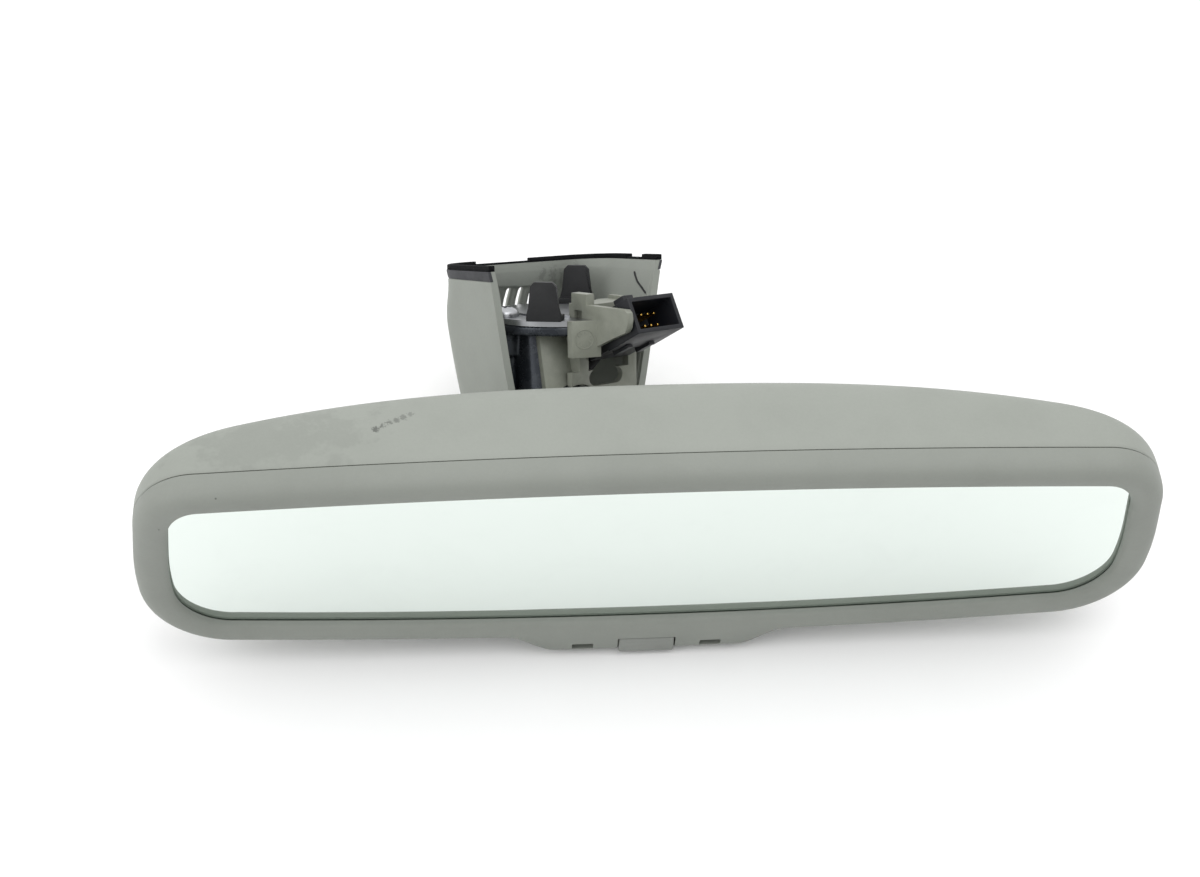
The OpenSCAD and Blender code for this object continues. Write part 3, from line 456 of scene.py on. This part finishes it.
def build_materials():
    scratch = [((-66.9 + 1.66 * i, 16.2 + 0.8 * i, 36), HEAD, (1, 1, 0.12), 1.0, 0.7 - 0.07 * i, 0.9)
               for i in range(6)]
    nick = [((-118.6, -1.0, 21.3), HEAD, (1, 1, 1), 0.75, 0.95, 0.5),
            ((-104.0, -0.8, 31.6), HEAD, (1, 1, 1), 0.30, 0.8, 0),
            ((-84.0, -1.2, -30.2), HEAD, (1, 1, 1), 0.35, 0.8, 0),
            ((118.5, -0.5, -7.5), HEAD, (1, 1, 1), 0.4, 0.7, 0.4),
            ((-69.0, 2.2, -35.9), HEAD, (1, 1, 1), 0.3, 0.8, 0)]
    grime = [((-92, 16, 33), HEAD, (0.45, 1, 0.3), 12, 0.10, 6.0)]
    dirt_streaks = [((8 + 3.4 * i, 24.5, 7.5 - (i % 3) * 1.2), BRACKET, (1, 0.3, 0.3), 1.3, 0.3, 1.8)
                    for i in range(5)]
    black = srgb(24, 25, 27)
    table = {
        # painted shade: the bezel takes the housing grey darkened to 85 %, standing in for the shade on its front
        # faces
        "bezel_plastic": moulded("bezel_grain_shaded", shade(GREY, 0.85), marks=nick),
        "housing_plastic": moulded("housing_grain", GREY, marks=scratch + grime + dirt_streaks),
        "button_plastic": moulded("button_satin", srgb(136, 139, 134), 0.45, 0.12, 0.45, 0.08),
        "dimming_glass": mirror_coating("coated_glass", (0.80, 0.86, 0.82), 0.02),
        "mirror_glass": mirror_coating("silvered_glass", (0.85, 0.88, 0.87), 0.03),
        "black_seal": moulded("seal_black", srgb(22, 22, 24), 0.4, 0.1, 0.4),
        "copper_strip": plain_metal("tinned_copper", srgb(214, 150, 98), 0.28),
        "foam_pad": foam("pad_foam", srgb(52, 52, 54)),
        "black_plastic": moulded("connector_black", srgb(20, 22, 28), 0.5, 0.10, 0.42, 0.2, 6),
        "board_green": board("solder_mask", srgb(22, 92, 56)),
        "component_black": moulded("component", srgb(36, 36, 39), 0.3, 0.12, 0.5),
        "plated_steel": plain_metal("zinc_plate", srgb(176, 178, 181), 0.3, 1.2, 0.05, None, 0.15),
        "ivory_plastic": moulded("ivory", srgb(226, 220, 204), 0.5, 0.08, 0.4, 0.05),
        "smoked_window": clear("smoked", srgb(62, 58, 66)),
        "clear_pipe": clear("light_pipe", srgb(214, 218, 214), 0.08),
        "harness_sleeve": moulded("sleeve", srgb(38, 38, 40), 0.35, 0.4, 0.6),
        "nylon": moulded("nylon_natural", srgb(232, 228, 214), 0.5, 0.06, 0.32, 0.05),
        "arm_metal": cast_black("arm_casting"),
        "spring_steel_black": moulded("black_coat", black, 0.35, 0.14, 0.5, 0.25, 3),
        "carrier_plastic": moulded("carrier_grey", srgb(134, 137, 126), 0.6, 0.08, 0.38, 0.35, 4),
        "gold_pins": plain_metal("gold_flash", srgb(226, 182, 92), 0.2, 0.3, 0.08),
        "gasket_foam": foam("gasket", srgb(22, 23, 25)),
        "trim_rubber": moulded("band_rubber", srgb(62, 63, 67), 0.4, 0.2, 0.6, 0.2, 5),
    }
    materials.update(table)


def cast_black(name):
    """Dark, glossy painted casting that shows soft highlights."""
    m = Nodes(name)
    patch = m.ramp(m.noise(5, 4, 0.6), 0.45, 0.7)
    m.set(Base_Color=m.mix(m.math("MULTIPLY", patch, 0.35), srgb(48, 52, 58), srgb(96, 100, 104)))
    m.set(Metallic=0.6, Roughness=m.ramp(patch, 0, 1, 0.24, 0.40))
    m.bump(m.noise(1.3, 4, 0.65), 0.25, 0.08)
    return m.material


slot_of = {s["node"]: s["material_slot"] for s in frame["record"]["subparts"]}
body_of = {n: b for b, members in frame["record"]["behaviour"]["bodies"].items() for n in members}


def stand_for(obj, *nodes):
    """obj is seen in place of CAD nodes: it takes their body, slot and, if it has none, material."""
    if not obj.data.materials:
        obj.data.materials.append(materials[slot_of[nodes[0]]])
    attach(obj, body_of[nodes[0]])
    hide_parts(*nodes)
    return obj


# ---------------------------------------------------------------- head outline
def top_at(x):
    return OPENING_H / 2 - TOP_CROWN * (2 * x / OPENING_W) ** 2


def bottom_at(x):
    return -OPENING_H / 2 + BOTTOM_CROWN * (2 * x / OPENING_W) ** 2


def smooth(t):
    t = min(max(t, 0.0), 1.0)
    return t * t * (3 - 2 * t)


def chin_at(x):
    return smooth((CHIN_HALF + CHIN_RAMP - abs(x)) / CHIN_RAMP)


UPPER_C = (OPENING_W / 2 - UPPER_CORNER[0], top_at(OPENING_W / 2 - UPPER_CORNER[0]) - UPPER_CORNER[1])
LOWER_C = (OPENING_W / 2 - LOWER_CORNER[0], bottom_at(OPENING_W / 2 - LOWER_CORNER[0]) + LOWER_CORNER[1])
CORNER_STEPS, EDGE_STEPS = 26, 150


def lean(x, z):
    """The sides lean in towards the top."""
    return x * (1 - SIDE_LEAN * smooth((z + 6) / 34)), z


def outline(grow, chin=0.0):
    """The opening's outline grown by grow, clockwise from the left end of the top."""
    gz = grow * BORDER_TOP / BORDER_SIDE
    quarter = [math.pi / 2 * i / CORNER_STEPS for i in range(CORNER_STEPS + 1)]
    upper = [(UPPER_C[0] + (UPPER_CORNER[0] + grow) * math.cos(a),
              UPPER_C[1] + (UPPER_CORNER[1] + gz) * math.sin(a)) for a in quarter]
    lower = [(LOWER_C[0] + (LOWER_CORNER[0] + grow) * math.cos(a),
              LOWER_C[1] - (LOWER_CORNER[1] + gz) * math.sin(a)) for a in quarter]
    side = [(upper[0][0] + (lower[0][0] - upper[0][0]) * t / 8,
             upper[0][1] + (lower[0][1] - upper[0][1]) * t / 8) for t in range(1, 8)]
    top_x = [UPPER_C[0] * (2 * i / EDGE_STEPS - 1) for i in range(1, EDGE_STEPS)]
    low_x = [LOWER_C[0] * (1 - 2 * i / EDGE_STEPS) for i in range(1, EDGE_STEPS)]
    points = ([(-x, z) for x, z in upper] + [(x, top_at(x) + gz) for x in top_x] + upper[::-1] + side + lower
              + [(x, bottom_at(x) - gz - chin * chin_at(x)) for x in low_x]
              + [(-x, z) for x, z in lower[::-1]] + [(-x, z) for x, z in side[::-1]])
    return [lean(x, z) for x, z in points]


LIP_FRONT, CHIN_SWELL = -1.8, 1.0
LEDGE_Y = GLASS_RECESS - 0.2
# growth, depth, share of the chin and share of the chin's forward swell, from the lip out to the seam
BEZEL_FRONT = [(0, 0.3, 0, 0), (0.3, -0.5, 0, 0), (1.4, -1.3, 0, 0.1), (3.4, LIP_FRONT, 0.12, 0.5),
               (5.6, LIP_FRONT + 0.3, 0.55, 1), (7.4, -0.2, 0.87, 1.2), (BORDER_SIDE - 0.3, 2.0, 1, 0.6),
               (BORDER_SIDE, BEZEL_DEPTH - 0.5, 1, 0), (BORDER_SIDE - 0.25, BEZEL_DEPTH, 1, 0)]
BEZEL_BACK = [(BORDER_SIDE - WALL, BEZEL_DEPTH, 1, 0), (BORDER_SIDE - WALL - 0.2, LEDGE_Y + 0.9, 1, 0),
              (3.9, LEDGE_Y, 0.1, 0), (3.9, LEDGE_Y + 6.7, 0, 0), (2.5, LEDGE_Y + 6.7, 0, 0),
              (2.5, LEDGE_Y, 0, 0), (0.3, LEDGE_Y, 0, 0), (0, LEDGE_Y - 0.3, 0, 0)]


def bezel_ring(section):
    grow, depth, chin, swell = section
    return [(x, depth - (CHIN_SWELL * swell * chin_at(x) if z < 0 else 0), z)
            for x, z in outline(grow, CHIN_DROP * chin)]


def build_bezel():
    rings = [bezel_ring(s) for s in spline(BEZEL_FRONT, 5) + BEZEL_BACK]
    bezel = make("bezel_shell", *loft(rings, True), HEAD)
    hole = (BUTTON_W / 2 + BUTTON_GAP, BUTTON_H / 2 + BUTTON_GAP)
    cut(bezel, rounded_box((-hole[0], -6, BUTTON_Z - hole[1]), (hole[0], LEDGE_Y + 2.4, BUTTON_Z + hole[1]),
                           0.5, HEAD, "button_cutter"))
    for side in (-1, 1):
        x = side * WINDOW_X
        cut(bezel, rounded_box((x - WINDOW_W / 2, -6, WINDOW_Z - WINDOW_H / 2),
                               (x + WINDOW_W / 2, LEDGE_Y + 2.4, WINDOW_Z + WINDOW_H / 2),
                               0.4, HEAD, "cutter"))
    soften(bezel, 32)
    # each window sits at the upper outer end of a recess with a sloping floor
    ramps = []
    for side in (-1, 1):
        x0, x1 = side * WINDOW_X - WINDOW_W / 2 + 0.02, side * WINDOW_X + WINDOW_W / 2 - 0.02
        z0, z1 = WINDOW_Z - WINDOW_H / 2 + 0.02, WINDOW_Z + WINDOW_H / 2 - 0.02
        front, back = -0.9, LEDGE_Y + 2.2
        verts = [(x0, front, z0), (x1, front, z0), (x1, back, z1 - 1.0), (x0 + 1.5, back, z1 - 1.0),
                 (x0, back, z0), (x1, back, z0)]
        faces = [(0, 1, 2, 3), (0, 3, 4), (1, 5, 2), (0, 4, 5, 1), (4, 3, 2, 5)]
        ramps.append(make("ramp", verts, faces, HEAD))
    shell = join("bezel_shell", [bezel] + ramps)
    soften(shell, 32)
    stand_for(shell, "bezel")


def build_button():
    z0, z1 = BUTTON_Z - BUTTON_H / 2, BUTTON_Z + BUTTON_H / 2
    half = BUTTON_W / 2
    cap = rounded_box((-half, LIP_FRONT - 0.7, z0), (half, 1.9, z1), 0.55, HEAD, "button_cap", 4)
    rim = rounded_box((-BUTTON_W / 2 + 1.6, LIP_FRONT - 0.78, z0 + 1.3), (BUTTON_W / 2 - 1.6, 0, z1 - 1.3),
                      0.35, HEAD, "pad", 3)
    foot = rounded_box((-half + 1, 0, BUTTON_Z - 0.9), (half - 1, LEDGE_Y + 4, BUTTON_Z + 0.9),
                       0.2, HEAD, "foot")
    flange = rounded_box((-BUTTON_W / 2 - 1.4, LEDGE_Y + 2.8, BUTTON_Z - 0.9),
                         (BUTTON_W / 2 + 1.4, LEDGE_Y + 4, z1 - 0.4), 0.2, HEAD, "flange")
    stem = lathe([(0, 0), (1.4, 0), (1.4, 2.5), (0, 2.5)],
                 HEAD @ Matrix.Translation((0, LEDGE_Y + 3, BUTTON_Z)) @ turn(-90, "X"), "stem", 32)
    stand_for(join("button_cap", [cap, rim, foot, flange, stem]), "button")


SEAM_Y = BEZEL_DEPTH + SEAM_GAP


def dome_ring(grow, angle, depth):
    c, s = max(math.cos(angle), 0.0) ** DOME_POW, math.sin(angle) ** DOME_POW if angle > 0 else 0.0
    return [(x * c, SEAM_Y + s * depth * (1 - HOUSING_ARCH * abs(2 * x * c / OPENING_W) ** 3), z * c)
            for x, z in outline(grow, CHIN_DROP * max(math.cos(angle), 0.0) ** 1.6)]


def build_housing():
    # the steps crowd together near the seam, where the dome's side rises steeply
    steps = [math.radians(88) * (k / 40) ** 1.9 for k in range(41)]
    steps[0] = 0.0
    side = BORDER_SIDE - WALL - 0.4
    inner = [dome_ring(side, a, HOUSING_DEPTH - WALL) for a in steps[:2:-1]]
    tongue = [[(x, y, z) for x, z in outline(g, CHIN_DROP)]
              for g, y in ((side, SEAM_Y + 2), (side - 1.2, SEAM_Y + 1.2), (side - 1.2, LEDGE_Y + 1.6),
                           (side, LEDGE_Y + 1.6), (side, SEAM_Y), (BORDER_SIDE - 0.25, SEAM_Y))]
    outer = [dome_ring(BORDER_SIDE, a, HOUSING_DEPTH) for a in [0.0001] + steps[1:]]
    verts, faces = loft(inner + tongue + outer)
    n = len(inner[0])
    last = len(verts) - n
    faces += [tuple(range(n))[::-1], tuple(range(last, last + n))]
    shell = make("housing_shell", verts, faces, HEAD)
    hole = lathe([(0, 0), (NECK_OPENING_R, 0), (NECK_OPENING_R, 40), (0, 40)],
                 HEAD @ Matrix.Translation((0, SEAM_Y, BALL_RISE)) @ turn(-90, "X"), "cutter", 96)
    cut(shell, hole)
    pipe = lathe([(0, 0), (3.0, 0), (3.0, 40), (0, 40)],
                 HEAD @ Matrix.Translation((26, SEAM_Y, -22)) @ turn(-90, "X"), "cutter", 48)
    cut(shell, pipe)
    soften(shell, 32)
    stand_for(shell, "rear_housing")


# ---------------------------------------------------------------- cover
def cover_w(z):
    t = (RIM_H - z) / (RIM_H + COVER_DEPTH)
    return COVER_HALF * (1 - 0.235 * max(0, t) ** 0.75 - 0.12 * t ** 3)


def cover_v(z):
    return COVER_FAR + COVER_BELLY * smooth((RIM_H - z) / 18)


def rim_fall(z):
    return RIM_SLOPE * max(0, z) / RIM_H


def u_path(z, inset):
    w, v, r = cover_w(z) - inset, cover_v(z) - inset, max(1.0, COVER_CORNER - inset)
    sides = [(-w, -COVER_NEAR + (v - r + COVER_NEAR) * i / 24) for i in range(24)]
    quarter = [math.pi / 2 * i / 20 for i in range(21)]
    arc = [(-w + r - r * math.cos(a), v - r + r * math.sin(a)) for a in quarter]
    half = sides + arc
    return half + [(-x, y) for x, y in half[::-1]]


def u_ring(z, g0, g1):
    a, b = u_path(z, g0), u_path(z, g1)
    return [(x, y, z - (y + COVER_NEAR) * rim_fall(z)) for x, y in a + b[::-1]]


def u_solid(name, rings, sharp=32):
    verts, faces = loft(rings)
    n = len(rings[0])
    half = n // 2
    for start, flip in ((0, True), (len(verts) - n, False)):
        strip = [(start + i, start + i + 1, start + n - 2 - i, start + n - 1 - i) for i in range(half - 1)]
        faces += [f[::-1] for f in strip] if flip else strip
    return make(name, verts, faces, BRACKET, sharp)


def build_cover():
    low = RIM_H - BAND_H
    levels = [low - 0.01, low - 0.4] + [low - 2 - (low - 2 + COVER_DEPTH - 2.4) * i / 22 for i in range(23)]
    rings = [u_ring(RIM_H, BAND_T, COVER_WALL), u_ring(low, BAND_T, COVER_WALL),
             u_ring(low - 0.01, 0.25, COVER_WALL)]
    rings += [u_ring(z, 0, COVER_WALL) for z in levels[1:]]
    for k in range(1, 7):
        a = math.pi / 2 * k / 6
        rings.append(u_ring(-COVER_DEPTH + 2.4 - 2.4 * math.sin(a), 2.6 * (1 - math.cos(a)),
                            COVER_WALL + 1.4 * (1 - math.cos(a))))
    shell = u_solid("cover_wall", rings)
    for i in (-1, 0, 1):
        x = VENT_X + VENT_PITCH * i
        cut(shell, rounded_box((x - VENT_HALF, COVER_FAR - 1, -3.3),
                               (x + VENT_HALF, COVER_FAR + COVER_BELLY + 1, 3.7), 0.9, BRACKET, "cutter", 5))
    parts = [shell]
    for side in (-1, 1):
        for y, clip_in in ((6, 18.6), (9.6, 17.2)):
            # a post under the arm's flange and a nib over the seat plate's rim
            for lo, hi, z0, z1 in ((clip_in - 0.6, cover_w(CLIP_LOW) - 0.8, CLIP_LOW, FLANGE_LOW - 0.1),
                                   (clip_in, cover_w(2) - 0.8, RIM_TOP + 0.06, RIM_TOP + 1.05)):
                x0, x1 = sorted((side * lo, side * hi))
                parts.append(rounded_box((x0, y - 1, z0), (x1, y + 1, z1), 0.25, BRACKET, "clip"))
    # stiffening ribs on the far wall, low down
    for x in (-12, -4, 4, 12):
        rib_end = (x + 0.5, cover_v(-30) - 1.2, -9)
        parts.append(rounded_box((x - 0.5, 22.4, -32), rib_end, 0.25, BRACKET, "rib"))
    # a step along the mating edges, for the other half of the cover
    for side in (-1, 1):
        edge = [(side * (cover_w(z) - COVER_WALL + 0.2), -COVER_NEAR + 1.6, z)
                for z in (9, 2, -6, -14, -22, -31)]
        parts.append(tube(edge, 0.45, BRACKET, "step", 8))
    cover = join("cover_wall", parts)
    stand_for(cover, "cover_shell")
    # painted shadow: a black tube on the inside of the right wall stands in for the shaded edge of a step
    route = ((0.6, 8.6), (-0.2, 7.6), (-1.6, 6.2), (-3.8, 5.0), (-6.4, 3.5))
    line = tube([(cover_w(z) - 2.05, y, z) for y, z in route], 0.28, BRACKET, "painted_shadow_line", 8)
    line.data.materials.append(materials["spring_steel_black"])
    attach(line, body_of["cover_shell"])


def build_trim():
    low = RIM_H - BAND_H
    rings = [u_ring(RIM_H - 0.02, 0.2, BAND_T - 0.05), u_ring(RIM_H - 0.25, 0, BAND_T - 0.05)]
    rings += [u_ring(low + 0.3, 0, BAND_T - 0.05), u_ring(low + 0.05, 0.2, BAND_T - 0.05)]
    stand_for(u_solid("trim_strip", rings), "cover_trim_band")
    base = RIM_H + 0.05
    flat = [u_ring(base + 0.6, 0.45, COVER_WALL - 0.1), u_ring(base + 0.45, 0.3, COVER_WALL),
            u_ring(base, 0.3, COVER_WALL)]
    strip = u_solid("gasket_strip", flat)
    raised = [u_ring(base + 1.5, 0.55, COVER_WALL - 0.2), u_ring(base + 1.3, 0.3, COVER_WALL),
              u_ring(base + 0.3, 0.3, COVER_WALL)]
    parts = [strip]
    for x0, x1, y0, y1 in ((-40, -14, -20, 40), (3, 40, 6, 40), (15, 40, -20, -1.6)):
        pad = u_solid("pad", raised)
        cut(pad, rounded_box((x0, y0, 0), (x1, y1, base + 3), 0, BRACKET, "keep"), "INTERSECT")
        parts.append(pad)
    stand_for(join("gasket_strip", parts), "cover_gasket")


# ---------------------------------------------------------------- bracket pieces
def build_arm():
    arm = copy_of("arm", "arm_casting")
    remesh(arm, 0.42, 5)
    stand_for(arm, "arm")


def build_hooks():
    hooks = copy_of("bayonet_hooks", "hook_pair")
    bevel(hooks, 0.4, 4)
    stand_for(hooks, "bayonet_hooks")


def build_screws():
    """Domed screw heads with a six-lobed recess."""
    screws = []
    for side in (-1, 1):
        place = BRACKET @ Matrix.Translation((SCREW_OFFSET * side, 0, 0))
        dome = [(0, 2.2)] + [(3.6 * math.sin(a), 0.1 + 2.1 * math.cos(a)) for a in
                             (math.pi / 2 * i / 12 for i in range(1, 13))] + [(3.6, RIM_TOP), (1.95, RIM_TOP)]
        thread = []
        for k in range(10):
            thread += [(1.95, -0.9 - 0.8 * k), (1.62, -1.3 - 0.8 * k)]
        screw = lathe(dome + thread + [(1.2, -10.0), (0, -10.2)], place, "screw", 72)
        star = []
        for i in range(48):
            a = 2 * math.pi * i / 48
            r = 1.55 + 0.28 * math.cos(6 * a)
            star.append((r * math.cos(a), r * math.sin(a)))
        verts, faces = loft([[(x, y, 0.7) for x, y in star], [(x, y, 3.5) for x, y in star]])
        faces += [tuple(range(48))[::-1], tuple(range(48, 96))]
        cut(screw, make("star", verts, faces, place))
        soften(screw, 35)
        screws.append(screw)
    stand_for(join("screw_pair", screws), "base_screws")


def build_carrier():
    body = copy_of("carrier", "carrier_moulding")
    bevel(body, 0.28, 3, 45)
    extras = []
    # round date mark with plain ticks, on the curved lip in front of the flange
    def on_lip(across, up):
        angle = MARK_TURN + across / LIP_R
        return LIP_R * math.cos(angle), LIP_R * math.sin(angle), MARK_Z + up

    def polar(r, a):
        return on_lip(r * math.cos(a), r * math.sin(a))

    ring = [polar(2.5, 2 * math.pi * i / 24) for i in range(25)]
    extras.append(tube(ring, 0.12, CARRIER, "ring", 6))
    for i in range(12):
        tick = [polar(r, 2 * math.pi * i / 12) for r in (1.5, 1.75, 2.0)]
        extras.append(tube(tick, 0.1, CARRIER, "tick", 6))
    carrier = join("carrier_moulding", [body] + extras)
    soften(carrier, 30)
    stand_for(carrier, "carrier")


def build_connector():
    body = copy_of("connector_housing", "connector_body")
    bevel(body, 0.22, 3, 45)
    stand_for(body, "connector_housing")


def build_pins():
    pins = copy_of("connector_pins", "pin_set")
    bevel(pins, 0.12, 2)
    stand_for(pins, "connector_pins")


# ---------------------------------------------------------------- everything else keeps its CAD shape
def finish_cad_nodes():
    shown = {"bezel", "rear_housing", "button", "arm", "bayonet_hooks", "base_screws", "carrier",
             "connector_housing", "connector_pins", "cover_shell", "cover_trim_band", "cover_gasket"}
    for name, obj in frame["nodes"].items():
        if name in shown:
            continue
        obj.data.materials.clear()
        obj.data.materials.append(materials[slot_of[name]])


# ---------------------------------------------------------------- stage
CAMERA_AT = (-0.02341, -0.35545, 0.40570)
CAMERA_AZIMUTH, CAMERA_ELEVATION, CAMERA_ROLL = -5.74, 52.36, 2.92
LENS_MM = 60.0


def build_camera():
    data = bpy.data.cameras.new("camera")
    data.lens = LENS_MM
    data.sensor_width = 36.0
    data.clip_start = 0.01
    camera = bpy.data.objects.new("camera", data)
    camera.matrix_world = (Matrix.Translation(CAMERA_AT) @ turn(CAMERA_AZIMUTH, "Z")
                           @ turn(90 - CAMERA_ELEVATION, "X") @ turn(CAMERA_ROLL, "Z"))
    bpy.context.scene.collection.objects.link(camera)
    bpy.context.scene.camera = camera


def build_floor():
    floor_z = cad_box[0][2] - 0.0002
    half = 15.0
    mesh = bpy.data.meshes.new("floor")
    corners = [(-half, -half, floor_z), (half, -half, floor_z), (half, half, floor_z), (-half, half, floor_z)]
    mesh.from_pydata(corners, [], [(0, 1, 2, 3)])
    floor = bpy.data.objects.new("floor", mesh)
    bpy.context.scene.collection.objects.link(floor)
    m = Nodes("floor_paper")
    cloud = m.ramp(m.noise(60, 2), 0.3, 0.7, 0, 0.03)
    m.set(Base_Color=m.mix(cloud, (0.97, 0.97, 0.972), (0.93, 0.93, 0.935)))
    m.set(Roughness=0.9)
    mesh.materials.append(m.material)


def area_light(name, at, aim, size, watts):
    data = bpy.data.lights.new(name, "AREA")
    data.size = size
    data.energy = watts
    lamp = bpy.data.objects.new(name, data)
    lamp.location = at
    lamp.rotation_euler = (Vector(aim) - Vector(at)).to_track_quat("-Z", "Y").to_euler()
    bpy.context.scene.collection.objects.link(lamp)


def build_light():
    world = bpy.data.worlds.new("studio")
    bpy.context.scene.world = world
    world.use_nodes = True
    tree = world.node_tree
    back = tree.nodes["Background"]
    # a dome that is bright overhead and behind, and dim in front
    coord = tree.nodes.new("ShaderNodeTexCoord")
    aim = tree.nodes.new("ShaderNodeVectorMath")
    aim.operation = "DOT_PRODUCT"
    aim.inputs[1].default_value = (0.0, 0.44, 0.90)
    level = tree.nodes.new("ShaderNodeMapRange")
    tree.links.new(coord.outputs["Generated"], aim.inputs[0])
    tree.links.new(aim.outputs["Value"], level.inputs["Value"])
    for name, v in (("From Min", -0.5), ("From Max", 0.8), ("To Min", 0.14), ("To Max", 1.20)):
        level.inputs[name].default_value = v
    tree.links.new(level.outputs["Result"], back.inputs["Strength"])
    back.inputs["Color"].default_value = (1.0, 1.0, 1.0, 1)
    area_light("key", (0.3, -0.1, 1.2), (0, -0.05, 0), 0.9, 3.4)
    area_light("left", (-1.0, -0.35, 0.8), (0, -0.05, 0), 0.8, 3.0)
    bpy.context.scene.view_settings.view_transform = "Standard"


build_materials()
build_camera()
build_floor()
build_light()
build_bezel()
build_housing()
build_button()
build_cover()
build_trim()
build_arm()
build_hooks()
build_screws()
build_carrier()
build_connector()
build_pins()
finish_cad_nodes()
